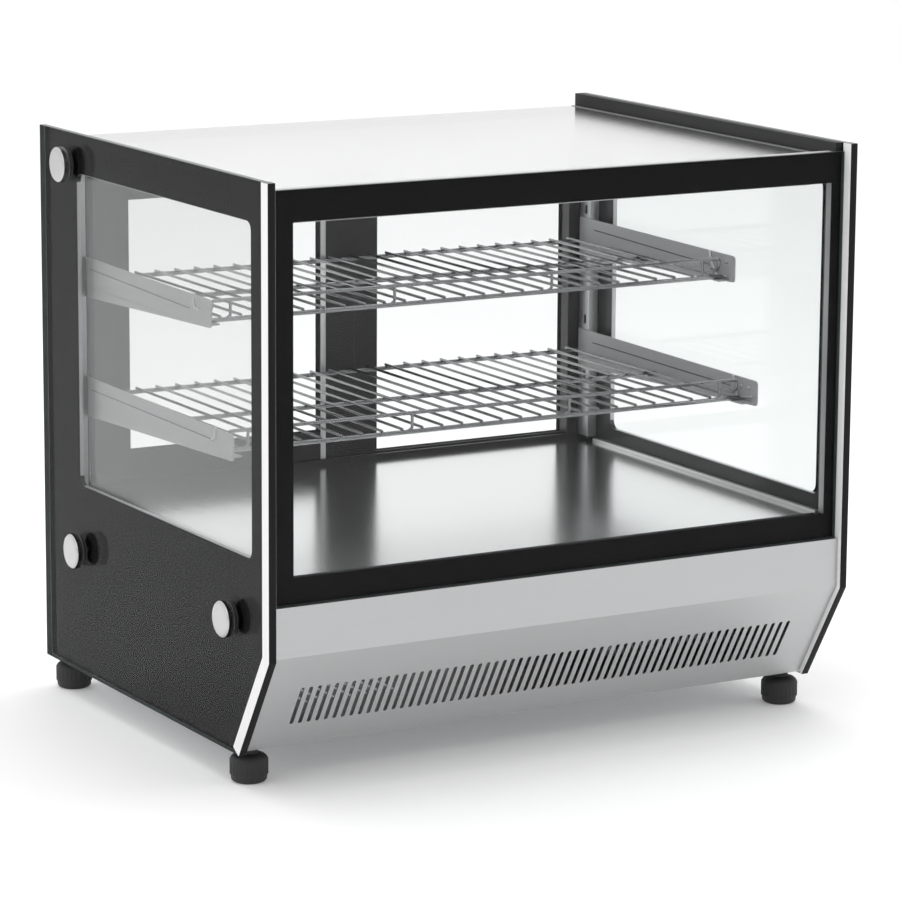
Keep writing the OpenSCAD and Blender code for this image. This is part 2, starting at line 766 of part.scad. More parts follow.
module control_panel() {
    color("#202124") difference() {
        union() {
            block([ctl_x0, ctl_x0 + ctl_w], [rear_y + rear_t, ctl_y1], [ctl_z0, ctl_z0 + ctl_h]);
            block([ctl_x0 + 5, ctl_x0 + ctl_w - 5], [ctl_y0, rear_y + rear_t],
                [ctl_z0 + 5, ctl_z0 + ctl_h - 5]);
        }
        for (x = rocker_x) {
            block([x - rocker_w / 2 - 0.5, x + rocker_w / 2 + 0.5], [ctl_y0 - 1, ctl_y1 + 1],
                [ctl_mid - rocker_h / 2 - rocker_gap, ctl_mid + rocker_h / 2 + rocker_gap]);
            translate([x - rocker_w / 2 - 2.5, pivot_y, ctl_mid]) rotate([0, 90, 0])
                cylinder(h = rocker_w + 5, d = 3.1);
        }
        for (x = button_x) translate([x, ctl_y0 - 1, ctl_mid]) rotate([-90, 0, 0])
            cylinder(h = 20, d = button_dia + 0.12);
        block([display_x, display_x + display_w], [ctl_y1 - 1.2, ctl_y1 + 1], [ctl_mid - 10, ctl_mid + 10]);
    }
}

// A rocker: a slab with two shallow slopes and pivot pins
module rocker(x) {
    h = rocker_h / 2;
    translate([x, pivot_y, ctl_mid]) {
        slab(-rocker_w / 2, rocker_w / 2) polygon([[-4, -5], [2.6, 0.4 - h], [7.2, 0.4 - h], [5, 0],
            [2.8, h - 0.4], [-0.6, h - 0.6], [-4, 5]]);
        translate([-rocker_w / 2 - 2, 0, 0]) rotate([0, 90, 0]) cylinder(h = rocker_w + 4, d = 3);
    }
}

module power_switch() { color("#c22a20") rocker(rocker_x[0]); }
module light_switch() { color("#2f7d3a") rocker(rocker_x[1]); }

module button(x) {
    color("#d8dadd") translate([x, ctl_y0 + 2, ctl_mid]) rotate([-90, 0, 0])
        cylinder(h = ctl_y1 - ctl_y0 - 2 + button_travel + 0.6, d = button_dia);
}

module set_button() { button(button_x[0]); }
module up_button() { button(button_x[1]); }
module down_button() { button(button_x[2]); }

module cord_gland() {
    color("#111111") translate([gland_x, rear_y - 6, gland_z]) rotate([-90, 0, 0]) difference() {
        union() {
            cylinder(h = 6, d = 28);
            cylinder(h = 6 + rear_t + 2, d = 19.8);
        }
        translate([0, 0, -1]) cylinder(h = 20, d = 9);
    }
}

base_tray();
front_panel();
rear_panel();
side_glass(-1);  // side_glass_left
side_glass(1);  // side_glass_right
side_border(-1);  // side_border_left
side_border(1);  // side_border_right
side_spacer(-1);  // side_spacer_left
side_spacer(1);  // side_spacer_right
side_inner_glass(-1);  // side_inner_glass_left
side_inner_glass(1);  // side_inner_glass_right
edge_trim(-1);  // edge_trim_left
edge_trim(1);  // edge_trim_right
side_caps();
cap_washers();
front_glass();
front_border();
front_inner_glass();
top_glass();
top_inner_glass();
glazing_spacers();
rear_posts();
rear_header();
rear_sill();
inner_door_frame();
inner_door_glass();
outer_door_frame();
outer_door_glass();
inner_door_pull();
outer_door_pull();
deck_plate();
deck_trim();
shelf_uprights();
upper_brackets();
lower_brackets();
upper_shelf();
lower_shelf();
lamp_housing();
lamp_tube();
insulated_well();
evaporator();
evaporator_fan();
evaporator_blade();
compressor();
compressor_mounts();
condenser();
condenser_fan();
condenser_blade();
pipes();
control_panel();
power_switch();
light_switch();
set_button();
up_button();
down_button();
cord_gland();
foot(-foot_x, foot_y0);  // foot_front_left
foot(foot_x, foot_y0);  // foot_front_right
foot(-foot_x, foot_y1);  // foot_rear_left
foot(foot_x, foot_y1);  // foot_rear_right
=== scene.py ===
import json
import math

import bmesh
import bpy
import numpy as np
from mathutils import Matrix, Vector


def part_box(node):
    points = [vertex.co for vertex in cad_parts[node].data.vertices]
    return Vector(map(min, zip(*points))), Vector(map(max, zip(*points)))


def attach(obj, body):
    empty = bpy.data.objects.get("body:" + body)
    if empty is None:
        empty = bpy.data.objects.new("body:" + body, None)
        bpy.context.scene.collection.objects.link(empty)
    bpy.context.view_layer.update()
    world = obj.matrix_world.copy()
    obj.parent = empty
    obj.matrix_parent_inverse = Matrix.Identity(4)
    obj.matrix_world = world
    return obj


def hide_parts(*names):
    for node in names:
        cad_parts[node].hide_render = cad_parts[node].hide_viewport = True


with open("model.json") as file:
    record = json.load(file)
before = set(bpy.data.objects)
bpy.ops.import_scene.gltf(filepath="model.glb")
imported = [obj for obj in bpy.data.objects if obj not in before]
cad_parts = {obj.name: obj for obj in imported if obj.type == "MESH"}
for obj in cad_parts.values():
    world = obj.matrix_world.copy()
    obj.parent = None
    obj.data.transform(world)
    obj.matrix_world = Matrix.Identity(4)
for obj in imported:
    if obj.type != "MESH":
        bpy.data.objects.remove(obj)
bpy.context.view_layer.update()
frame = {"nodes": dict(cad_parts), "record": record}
nodes = frame["nodes"]

# ---- Camera, floor and light ----
# A long lens stands off to the left of the front and a little above the top. The floor is a
# matt pale sweep, and three large soft lamps with a pale sky light it.

LENS, SENSOR = 160.0, 36.0
AZIMUTH, ELEVATION, ROLL = map(math.radians, (-29.82, 11.44, 0.36))
EYE = (-2.117, -3.714, 1.147)


class Wire:
    """A value running through a material's nodes: arithmetic on it adds Math nodes, and
    make() adds any other node and returns one of its outputs."""

    def __init__(self, tree, socket=None):
        self.tree, self.socket = tree, socket

    def feed(self, slot, value):
        """Sets an input socket: a Wire is linked, anything else becomes its value."""
        if isinstance(value, Wire):
            self.tree.links.new(value.socket, slot)
        elif hasattr(slot, "default_value"):
            if slot.type == "RGBA" and len(value) == 3:
                value = (*value, 1.0)
            slot.default_value = value

    def make(self, kind, settings=None, inputs=None, out=0):
        """Adds a node of this kind, its settings first, then its inputs by name or number."""
        node = self.tree.nodes.new("ShaderNode" + kind)
        for key, value in (settings or {}).items():
            setattr(node, key, value)
        for key, value in (inputs or {}).items():
            self.feed(node.inputs[key], value)
        return Wire(self.tree, node.outputs[out] if node.outputs else None)

    def sum(self, operation, a, b=0.0):
        return self.make("Math", {"operation": operation}, {0: a, 1: b})

    def __add__(self, other):
        return self.sum("ADD", self, other)

    def __sub__(self, other):
        return self.sum("SUBTRACT", self, other)

    def __mul__(self, other):
        return self.sum("MULTIPLY", self, other)

    def __pow__(self, other):
        return self.sum("POWER", self, other)

    def __rsub__(self, other):
        return self.sum("SUBTRACT", other, self)

    __radd__, __rmul__ = __add__, __mul__

    def scaled(self, by):
        """A vector times another, part by part."""
        return self.make("VectorMath", {"operation": "MULTIPLY"}, {0: self, 1: by})

    def part(self, axis):
        return self.make("SeparateXYZ", None, {0: self}, axis)

    def noise(self, scale=1.0, detail=3.0, rough=0.55):
        return self.make("TexNoise", None,
                         {"Vector": self, "Scale": scale, "Detail": detail, "Roughness": rough})

    def blend(self, low, high):
        """The colour low where this is 0 and high where it is 1."""
        return self.make("Mix", {"data_type": "RGBA"}, {0: self, 6: low, 7: high}, 2)


def new_finish(name):
    """An empty node material and a Wire on its Object coordinates."""
    material = bpy.data.materials.new(name)
    material.use_nodes = True
    material.node_tree.nodes.clear()
    start = Wire(material.node_tree)
    return material, start.make("TexCoord", None, None, 3)


def coated(at, colour, rough, metal=0.0, height=None, depth=0.0002, strength=0.4, **fixed):
    """A Principled surface; height, if given, goes through a Bump node into its normal."""
    inputs = {"Base Color": colour, "Roughness": rough, "Metallic": metal}
    inputs.update({key.replace("_", " "): value for key, value in fixed.items()})
    if height is not None:
        inputs["Normal"] = at.make("Bump", None,
                                   {"Strength": strength, "Distance": depth, "Height": height})
    return at.make("BsdfPrincipled", None, inputs)


def done(material, surface):
    surface.make("OutputMaterial", None, {"Surface": surface})
    return material


def matt_floor():
    material, at = new_finish("matt_floor")
    pale = at.noise(3.0).blend((0.93, 0.93, 0.93), (0.95, 0.95, 0.95))
    return done(material, coated(at, pale, 0.75, Emission_Color=pale, Emission_Strength=0.14))


half = 30.0
floor_mesh = bpy.data.meshes.new("floor")
floor_mesh.from_pydata([(-half, -half, 0), (half, -half, 0), (half, half, 0), (-half, half, 0)],
                       [], [(0, 1, 2, 3)])
floor = bpy.data.objects.new("floor", floor_mesh)
floor_mesh.materials.append(matt_floor())
bpy.context.scene.collection.objects.link(floor)

camera_data = bpy.data.cameras.new("camera")
camera_data.lens, camera_data.sensor_width = LENS, SENSOR
camera_data.clip_end = 100.0
camera = bpy.data.objects.new("camera", camera_data)
ahead = Vector((-math.sin(AZIMUTH) * math.cos(ELEVATION),
                math.cos(AZIMUTH) * math.cos(ELEVATION), -math.sin(ELEVATION)))
level = ahead.cross(Vector((0, 0, 1))).normalized()
upright = level.cross(ahead)
right = level * math.cos(ROLL) + upright * math.sin(ROLL)
top = upright * math.cos(ROLL) - level * math.sin(ROLL)
camera.matrix_world = Matrix((
    (right.x, top.x, -ahead.x, EYE[0]), (right.y, top.y, -ahead.y, EYE[1]),
    (right.z, top.z, -ahead.z, EYE[2]), (0, 0, 0, 1)))
bpy.context.scene.collection.objects.link(camera)
bpy.context.scene.camera = camera
bpy.context.scene.view_settings.view_transform = "Standard"
bpy.context.scene.cycles.transparent_max_bounces = 40


def soft_lamp(name, place, target, size, power):
    data = bpy.data.lights.new(name, "AREA")
    data.shape, data.size, data.size_y, data.energy = "RECTANGLE", size[0], size[1], power
    lamp = bpy.data.objects.new(name, data)
    lamp.location = place
    lamp.rotation_euler = (Vector(target) - Vector(place)).to_track_quat("-Z", "Y").to_euler()
    bpy.context.scene.collection.objects.link(lamp)


soft_lamp("overhead_lamp", (0.2, 0.6, 3.4), (0, 0, 0.3), (3.2, 2.6), 34)
soft_lamp("left_lamp", (-3.4, -0.6, 1.9), (0, 0, 0.3), (1.8, 1.8), 8)
soft_lamp("right_lamp", (3.2, -1.6, 2.2), (0, 0, 0.3), (2.0, 2.0), 16)

world = bpy.data.worlds.new("studio")
world.use_nodes = True
world.node_tree.nodes.clear()
sky = Wire(world.node_tree)
way = sky.make("TexCoord", None, None, 0)
brightness = way.part(1) * 0.38 + way.part(2) * 0.46 + 0.6
glow = sky.make("Background", None, {"Color": (1.0, 1.0, 1.0), "Strength": brightness})
glow.make("OutputWorld", None, {"Surface": glow})
bpy.context.scene.world = world

# ---- Feet ----
# Four moulded black pucks on threaded studs carry the base tray. A ribbed grip lets each one be
# turned by hand, and its underside is a little narrower than its rim.


def grid_faces(rows, columns, wrap):
    """Quads between neighbouring rows of a grid of points; wrap joins the last column to the
    first."""
    across = np.arange(columns if wrap else columns - 1)
    a = (np.arange(rows - 1)[:, None] * columns + across).ravel()
    b = (np.arange(rows - 1)[:, None] * columns + (across + 1) % columns).ravel()
    return np.stack([a, b, b + columns, a + columns], 1)


class Shape:
    """Collects grids of points and their faces, then becomes one object."""

    def __init__(self):
        self.points, self.faces, self.count = [], [], 0

    def grid(self, points, wrap=True, ends=True):
        """A grid of points, rows by columns by 3, as quads, with its end rows closed."""
        rows, columns = points.shape[:2]
        faces = grid_faces(rows, columns, wrap) + self.count
        self.faces += faces.tolist()
        if ends:
            first = np.arange(columns) + self.count
            self.faces.append(first[::-1].tolist())
            self.faces.append((first + (rows - 1) * columns).tolist())
        self.points.append(points.reshape(-1, 3))
        self.count += rows * columns
        return self

    def build(self, name, finish, body, slot, stands_for=(), smooth=35.0):
        """Merges the seams, then makes the object that rides on body, in place of the nodes in
        stands_for. Edges sharper than smooth degrees stay sharp."""
        mesh = bpy.data.meshes.new(name)
        mesh.from_pydata(np.concatenate(self.points).tolist(), [], self.faces)
        seams = bmesh.new()
        seams.from_mesh(mesh)
        bmesh.ops.remove_doubles(seams, verts=seams.verts, dist=2e-6)
        seams.to_mesh(mesh)
        seams.free()
        mesh.materials.append(finish)
        piece = bpy.data.objects.new(name, mesh)
        bpy.context.scene.collection.objects.link(piece)
        mesh.shade_smooth()
        mesh.set_sharp_from_angle(angle=math.radians(smooth))
        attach(piece, body)
        if stands_for:
            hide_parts(*stands_for)


def box_of(node):
    """The low and high corners of a node's box."""
    return tuple(np.array(corner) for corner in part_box(node))


def frame_of(axis):
    """Two unit vectors square to axis, so that u x v = axis."""
    axis = np.asarray(axis, float) / np.linalg.norm(axis)
    u = np.cross((0, 0, 1) if abs(axis[2]) < 0.9 else (0, 1, 0), axis)
    u /= np.linalg.norm(u)
    return u, np.cross(axis, u), axis


def turned(profile, centre, axis=(0, 0, 1), sides=48, ripple=0.0, teeth=0, grip=None):
    """A turned shape: radius and height pairs swept round an axis. Between the two heights in
    grip, the radius falls by ripple times (1 + cos(teeth x angle)) / 2."""
    profile = np.asarray(profile, float)
    u, v, w = frame_of(axis)
    angle = np.linspace(0, 2 * np.pi, sides, endpoint=False)
    radius = profile[:, :1] + 0 * angle
    if grip is not None:
        inside = (profile[:, 1] >= grip[0]) & (profile[:, 1] <= grip[1])
        radius = radius - inside[:, None] * ripple * (1 + np.cos(teeth * angle)) / 2
    ring = np.cos(angle)[:, None] * u + np.sin(angle)[:, None] * v
    return np.asarray(centre) + radius[..., None] * ring + profile[:, 1, None, None] * w


def moulded_black(name, grain=1800.0, rough=0.55, shade=0.018, wear=0.0):
    """Black moulded plastic: a fine spark-eroded grain, and paler where it is handled."""
    material, at = new_finish(name)
    fine, broad = at.noise(grain, 2.0), at.noise(14.0, 4.0)
    tone = (broad * 0.5 + fine * 0.5).blend((shade, shade, shade * 1.05),
                                            (shade * 2 + wear, shade * 2 + wear, shade * 2.1 + wear))
    return done(material, coated(at, tone, broad * 0.18 + rough, height=fine, depth=0.0001))


foot_plastic = moulded_black("foot_plastic")
zinc_thread_mat, at = new_finish("zinc_thread")
worn = at.noise(300.0).blend((0.5, 0.5, 0.48), (0.68, 0.68, 0.66))
zinc_thread = done(zinc_thread_mat, coated(at, worn, 0.35, 1.0))
TURNS = 9
for foot in ("foot_front_left", "foot_front_right", "foot_rear_left", "foot_rear_right"):
    low, high = box_of(foot)
    x, y = (low[:2] + high[:2]) / 2
    r = (high[0] - low[0]) / 2
    puck = [(0.0005, 0.0), (r - 0.005, 0.0), (r - 0.0028, 0.0012), (r - 0.0014, 0.003),
            (r - 0.0012, 0.0065), (r, 0.0085), (r, 0.0105), (r, 0.019), (r, 0.0235),
            (r - 0.0016, 0.0262), (r - 0.004, 0.0282), (0.0125, 0.029), (0.0095, 0.030),
            (0.009, 0.0359)]
    Shape().grid(turned(puck, (x, y, 0.0), sides=96, ripple=0.0011, teeth=24, grip=(0.009, 0.022))) \
        .build(foot + "_puck", foot_plastic, foot, "plastic_black", (foot,), 50.0)
    steps = np.arange(TURNS * 2 + 1)
    thread = np.stack([np.where(steps % 2, 0.00395, 0.0034),
                       0.0355 + steps * 0.0147 / (TURNS * 2)], 1)
    Shape().grid(turned(thread, (x, y, 0.0), sides=24)).build(foot + "_stud", zinc_thread, foot,
                                                            "zinc_sheet")

# ---- Base tray ----
# A folded tray of galvanised sheet carries the machinery. Its side flanges are screwed to the
# side panels, and the feet's studs pass through its floor.


def dress(node, finish, bevel=0.0, shrink=0.0):
    """Gives a CAD node its finish and, if bevel is set, slightly eased edges. A print that shares
    a face with its pane shrinks by a hair along its normals."""
    piece = nodes[node]
    piece.data.materials.clear()
    piece.data.materials.append(finish)
    if bevel or shrink:
        weld = piece.modifiers.new("weld", "WELD")
        weld.merge_threshold = 1e-6
    if shrink:
        shrunk = piece.modifiers.new("shrunk", "DISPLACE")
        shrunk.direction, shrunk.mid_level, shrunk.strength = "NORMAL", 0.0, -shrink
    if bevel:
        eased = piece.modifiers.new("eased", "BEVEL")
        eased.width, eased.segments, eased.limit_method = bevel, 2, "ANGLE"
        eased.angle_limit = math.radians(40)
        eased.use_clamp_overlap = True


def galvanised():
    """Zinc spangle: flat grains of slightly different grey, 6 to 12 mm across."""
    material, at = new_finish("galvanised_sheet")
    grains = at.make("TexVoronoi", {"feature": "F1"}, {"Vector": at, "Scale": 110.0}, 1)
    tone = grains.part(0)
    colour = tone.blend((0.42, 0.43, 0.44), (0.62, 0.63, 0.65))
    return done(material, coated(at, colour, tone * 0.2 + 0.34, 0.85, height=at.noise(500.0)))


zinc_sheet = galvanised()
dress("base_tray", zinc_sheet, 0.0003)

# ---- Cooling bay ----
# A hermetic compressor on rubber grommets, a finned condenser with its fan, and copper lines
# with a filter drier. They stand on the tray behind the louvers.


def lacquered(name, colour, rough, peel=220.0):
    """Stoved lacquer with slight orange peel and dust lying in the broad noise."""
    material, at = new_finish(name)
    dust = at.noise(9.0, 5.0)
    dark = tuple(c * 0.8 for c in colour)
    return done(material, coated(at, dust.blend(dark, colour), dust * 0.15 + rough,
                                 height=at.noise(peel), strength=0.15, depth=0.0002))


def bare_metal(name, colour, rough, stretch=(60.0, 60.0, 60.0), contrast=0.25, strength=0.12):
    """Bare metal whose fine drawing or brushing lines run along the axis stretched least."""
    material, at = new_finish(name)
    lines = at.scaled(stretch).noise(1.0, 3.0, 0.6)
    broad = at.noise(5.0, 3.0)
    shade = lines * contrast + broad * (contrast * 0.6)
    dark = tuple(c * (1 - contrast * 0.6) for c in colour)
    return done(material, coated(at, shade.blend(dark, colour), lines * 0.12 + rough, 1.0,
                                 height=lines, strength=strength, depth=0.0001))


compressor_black = lacquered("compressor_black", (0.02, 0.02, 0.021), 0.3)
fin_aluminium = bare_metal("fin_aluminium", (0.78, 0.79, 0.8), 0.35, (400.0, 30.0, 30.0))
copper_tube = bare_metal("copper_tube", (0.85, 0.45, 0.3), 0.25, (40.0, 40.0, 300.0))
grommet_rubber = moulded_black("grommet_rubber", 900.0, 0.75, 0.02)
fan_plastic = moulded_black("fan_plastic", 1200.0, 0.5, 0.02)
dress("compressor", compressor_black, 0.0015)
dress("compressor_mounts", grommet_rubber)
dress("condenser", fin_aluminium)
dress("pipes", copper_tube)
for node in ("condenser_fan", "evaporator_fan"):
    dress(node, fan_plastic, 0.0004)


def rotor(node, name, blades, twist, body):
    """A moulded rotor: each blade is a sheet whose pitch falls from root to tip and whose
    leading edge sweeps forward as radius squared, round a domed hub with an axle hole."""
    low, high = box_of(node)
    centre = (low + high) / 2
    outer, depth = (high[0] - low[0]) / 2, (high[1] - low[1]) / 2
    hub = outer * 0.32
    shape = Shape()
    along, chord = np.meshgrid(np.linspace(0, 1, 14), np.linspace(-1, 1, 11), indexing="ij")
    radius = hub * 0.96 + (outer * 0.99 - hub * 0.96) * along
    pitch = math.radians(twist) * (1 - 0.35 * along)
    half_width = (0.62 + 0.2 * np.sin(np.pi * along)) * outer * 0.5
    turn = chord * half_width * np.cos(pitch) / radius + 0.35 * along ** 2
    lift = np.clip(chord * half_width * np.sin(pitch), -depth * 0.92, depth * 0.92)
    for k in range(blades):
        angle = turn + 2 * np.pi * k / blades
        sheet = [np.stack([centre[0] + radius * np.cos(angle), centre[1] + lift + side,
                           centre[2] + radius * np.sin(angle)], 2) for side in (-0.0007, 0.0007)]
        ring = np.concatenate([sheet[0], sheet[1][:, ::-1]], 1)
        shape.grid(ring[:, ::-1])
    dome = [(0.0022, -depth), (hub * 0.7, -depth), (hub * 0.93, -depth * 0.85), (hub, -depth * 0.5),
            (hub, depth * 0.9), (hub * 0.9, depth), (0.0022, depth)]
    shape.grid(turned(dome, centre, (0, 1, 0), 40), ends=False)
    bore = turned([(0.0022, depth), (0.0022, -depth)], centre, (0, 1, 0), 40)
    shape.grid(bore, ends=False)
    shape.build(name, fan_plastic, body, "plastic_black", (node,))


rotor("condenser_blade", "condenser_rotor", 7, 34, "condenser_blade")
rotor("evaporator_blade", "evaporator_rotor", 7, 34, "evaporator_blade")

# ---- Insulated well and evaporator ----
# The cold well is a tub of foam with a white skin under the deck. A small finned coil lies in it
# with a fan behind.

foam_skin = lacquered("foam_skin", (0.82, 0.82, 0.8), 0.5, 90.0)
dress("insulated_well", foam_skin, 0.002)
dress("evaporator", fin_aluminium)

# ---- Front panel ----
# One folded sheet of brushed stainless: an upright band below the glass, then a fold at the knee
# and a face that slopes back, with a row of louver slots punched through it.


def brushed_stainless(name, colour, rough, along, contrast=0.18, strength=0.1, spread=0.1):
    """Long brushing lines along one axis: two stretched noises, fine hairlines 0.5 mm apart and
    broader bands, lift colour, and lift roughness by up to twice the spread."""
    material, at = new_finish(name)
    fine_scale = [900.0, 900.0, 900.0]
    band_scale = [160.0, 160.0, 160.0]
    fine_scale[along], band_scale[along] = 10.0, 3.0
    fine = at.scaled(tuple(fine_scale)).noise(1.0, 4.0, 0.6)
    bands = at.scaled(tuple(band_scale)).noise(1.0, 3.0, 0.5)
    cloud = at.noise(4.0, 3.0)
    shade = fine * 0.5 + bands * 0.3 + cloud * 0.2
    dark = tuple(c * (1 - contrast) for c in colour)
    return done(material, coated(at, shade.blend(dark, colour), (fine + bands) * spread + rough, 1.0,
                                 height=fine, strength=strength, depth=0.00008))


panel_steel = brushed_stainless("panel_steel", (0.58, 0.585, 0.59), 0.3, 0, 0.16)
dress("front_panel", panel_steel, 0.0004)

# ---- Rear panel, controls and cord gland ----
# Galvanised sheet closes the back of the base, with a slotted vent. A moulded bezel holds two
# rockers, a small temperature display and three push buttons; the mains cord leaves by the gland.

dress("rear_panel", zinc_sheet, 0.0003)
bezel_plastic = moulded_black("bezel_plastic", 1500.0, 0.42, 0.02)
dress("control_panel", bezel_plastic, 0.0006)


def rounded_block(low, high, r, axis=2, steps=4):
    """A block with every edge rounded by r: a rounded rectangle is stacked along axis, drawn in
    by r(1 - sin t) near each end, with t running over a quarter turn."""
    low, high = np.asarray(low, float), np.asarray(high, float)
    order = [(axis + 1) % 3, (axis + 2) % 3, axis]
    low, high = low[order], high[order]
    t = np.linspace(0, np.pi / 2, steps)
    pull = np.concatenate([r * (1 - np.sin(t)), (r * (1 - np.sin(t)))[::-1]])
    height = np.concatenate([low[2] + r * (1 - np.cos(t)), high[2] - (r * (1 - np.cos(t)))[::-1]])
    corner = (np.arange(4)[:, None] * np.pi / 2 + np.linspace(0, np.pi / 2, steps + 1)).ravel()
    quarter = np.repeat([(1, 1), (-1, 1), (-1, -1), (1, -1)], steps + 1, axis=0)
    sign_x, sign_y = quarter[:, 0], quarter[:, 1]
    middle, half_size = (low + high) / 2, (high - low) / 2
    keep = np.maximum(r - pull, 1e-5)[:, None]
    x = middle[0] + sign_x * (half_size[0] - r) + keep * np.cos(corner)
    y = middle[1] + sign_y * (half_size[1] - r) + keep * np.sin(corner)
    points = np.stack([x, y, np.broadcast_to(height[:, None], x.shape)], 2)
    return points[..., np.argsort(order)]


pan_steel = bare_metal("screw_steel", (0.6, 0.6, 0.62), 0.3, (200.0, 200.0, 200.0))


def pan_screw(shape, place, axis, r=0.0035):
    """A domed screw head with a round sunk drive."""
    dome = [(r, 0.0), (r, 0.0004), (r * 0.86, 0.0012), (r * 0.55, 0.0018), (r * 0.36, 0.002),
            (r * 0.3, 0.0012), (r * 0.02, 0.0011)]
    shape.grid(turned(dome, place, axis, 24))


back_low, back_high = box_of("rear_panel")
panel_screws = Shape()
for x in np.linspace(back_low[0] + 0.012, back_high[0] - 0.012, 7):
    for z in (back_low[2] + 0.008, back_high[2] - 0.008):
        pan_screw(panel_screws, (x, back_high[1], z), (0, 1, 0))
panel_screws.build("rear_panel_screws", pan_steel, "cabinet", "zinc_sheet")


def gloss_plastic(name, colour, rough=0.22):
    material, at = new_finish(name)
    haze = at.noise(60.0, 3.0)
    dark = tuple(c * 0.85 for c in colour)
    return done(material, coated(at, haze.blend(dark, colour), haze * 0.1 + rough,
                                 height=at.noise(700.0), strength=0.05))


legend_white = gloss_plastic("legend_white", (0.85, 0.85, 0.85), 0.4)


LEAN = 0.0022


def rocker(node, name, colour, body):
    """A rocker cap: its face leans back towards the top by LEAN each way and is dished by a
    parabola, half as deep; a bar is moulded on the upper half and a ring on the lower."""
    low, high = box_of(node)
    wide, mid_z, front = (high[0] - low[0] - 0.004) / 2, (low[2] + high[2]) / 2, high[1]
    x_mid, reach = (low[0] + high[0]) / 2, (high[2] - low[2]) / 2
    z = np.linspace(-1, 1, 33)
    face = front - LEAN * (z + 1) + LEAN / 2 * (z * z - 1)
    t = np.linspace(0, np.pi / 2, 5)
    inset = np.concatenate([[0.0], 0.0009 * (1 - np.cos(t))])
    sink = np.concatenate([[0.006], 0.0009 * (1 - np.sin(t))])
    across = np.concatenate([-(wide - inset), (wide - inset)[::-1]])
    drop = np.concatenate([sink, sink[::-1]])
    y = face[:, None] - drop
    points = np.stack([x_mid + np.broadcast_to(across, y.shape), y,
                       mid_z + np.broadcast_to((z * reach)[:, None], y.shape)], 2)
    Shape().grid(points[:, ::-1]).build(name, gloss_plastic(name, colour), body,
                                        nodes_slot[node], (node,))
    marks = Shape()
    up, down = mid_z + reach * 0.5, mid_z - reach * 0.5
    face_up = front - LEAN * 1.5 - LEAN / 2 * 0.75
    face_down = front - LEAN * 0.5 - LEAN / 2 * 0.75
    marks.grid(rounded_block((x_mid - 0.0005, face_up - 0.0004, up - 0.002),
                             (x_mid + 0.0005, face_up + 0.0002, up + 0.002), 0.0001, 1))
    ring_angle = np.linspace(0, 2 * np.pi, 28, endpoint=False)
    path = np.stack([x_mid + 0.002 * np.cos(ring_angle), np.full(28, face_down - 0.0001),
                     down + 0.002 * np.sin(ring_angle)], 1)
    marks.grid(hoop(path, 0.0003, (0, 1, 0))[::-1], ends=False)
    marks.build(name + "_marks", legend_white, body, "button_grey")


def hoop(path, r, up, sides=8):
    """A closed tube: circles of radius r carried round a closed flat path, the last row joined
    back to the first by repeating it."""
    path = np.concatenate([path, path[:1]])
    ahead = np.roll(path[:-1], -1, 0) - np.roll(path[:-1], 1, 0)
    ahead = np.concatenate([ahead, ahead[:1]])
    ahead /= np.linalg.norm(ahead, axis=1)[:, None]
    side = np.cross(ahead, up)
    angle = np.linspace(0, 2 * np.pi, sides, endpoint=False)
    return (path[:, None] + r * (np.cos(angle)[:, None] * side[:, None]
                                 + np.sin(angle)[:, None] * np.asarray(up, float)))


nodes_slot = {row["node"]: row["material_slot"] for row in frame["record"]["subparts"]}
rocker("power_switch", "power_rocker_cap", (0.55, 0.03, 0.02), "power_switch")
rocker("light_switch", "light_rocker_cap", (0.03, 0.32, 0.08), "light_switch")

button_grey = gloss_plastic("button_grey", (0.62, 0.63, 0.65))
for node, arrow in (("set_button", 0), ("up_button", 1), ("down_button", -1)):
    low, high = box_of(node)
    centre = (low + high) / 2
    r, tip = (high[0] - low[0]) / 2, high[1]
    cap = [(r, low[1] - centre[1]), (r, tip - centre[1] - 0.0006), (r * 0.96, tip - centre[1] - 0.0002),
           (r * 0.86, tip - centre[1]), (r * 0.5, tip - centre[1] - 0.0003),
           (r * 0.02, tip - centre[1] - 0.0004)]
    Shape().grid(turned(cap, centre, (0, 1, 0), 36)).build(node + "_cap", button_grey, node,
                                                         "button_grey", (node,))
    mark = Shape()
    if arrow:
        # a triangle, 3 mm high, as a short prism
        tri = np.array([(-0.0017, -0.0012), (0.0017, -0.0012), (0.0, 0.0016)]) * (1, arrow)
        rows = [np.stack([centre[0] + tri[:, 0], np.full(3, tip - 0.0006 + dy),
                          centre[2] + tri[:, 1]], 1)
                for dy in ((0.0, 0.0007) if arrow < 0 else (0.0007, 0.0))]
        mark.grid(np.array(rows))
    else:
        mark.grid(turned([(0.0012, 0.0), (0.0012, 0.0006), (0.001, 0.0008)],
                         (centre[0], tip - 0.0007, centre[2]), (0, 1, 0), 20))
    mark.build(node + "_mark", moulded_black(node + "_ink", 900.0, 0.5, 0.01), node, "button_grey")

panel_box = box_of("control_panel")
bezel_face = panel_box[1][1]
window_x, window_z = panel_box[0][0] + 0.066, (panel_box[0][2] + panel_box[1][2]) / 2
display_mat, at = new_finish("display_lens")
smoke = at.noise(80.0).blend((0.02, 0.004, 0.004), (0.03, 0.008, 0.008))
display_lens = done(display_mat, coated(at, smoke, 0.08, Coat_Weight=1.0))
Shape().grid(rounded_block((window_x + 0.0003, bezel_face - 0.0014, window_z - 0.0097),
                           (window_x + 0.0417, bezel_face - 0.0002, window_z + 0.0097), 0.0003, 1)) \
    .build("display_lens", display_lens, "cabinet", "plastic_black")
segment_mat, at = new_finish("display_segment")
lit = at.noise(200.0).blend((0.9, 0.05, 0.03), (1.0, 0.12, 0.06))
segment_red = done(segment_mat, coated(at, lit, 0.4, Emission_Color=lit, Emission_Strength=1.2))
digits = Shape()
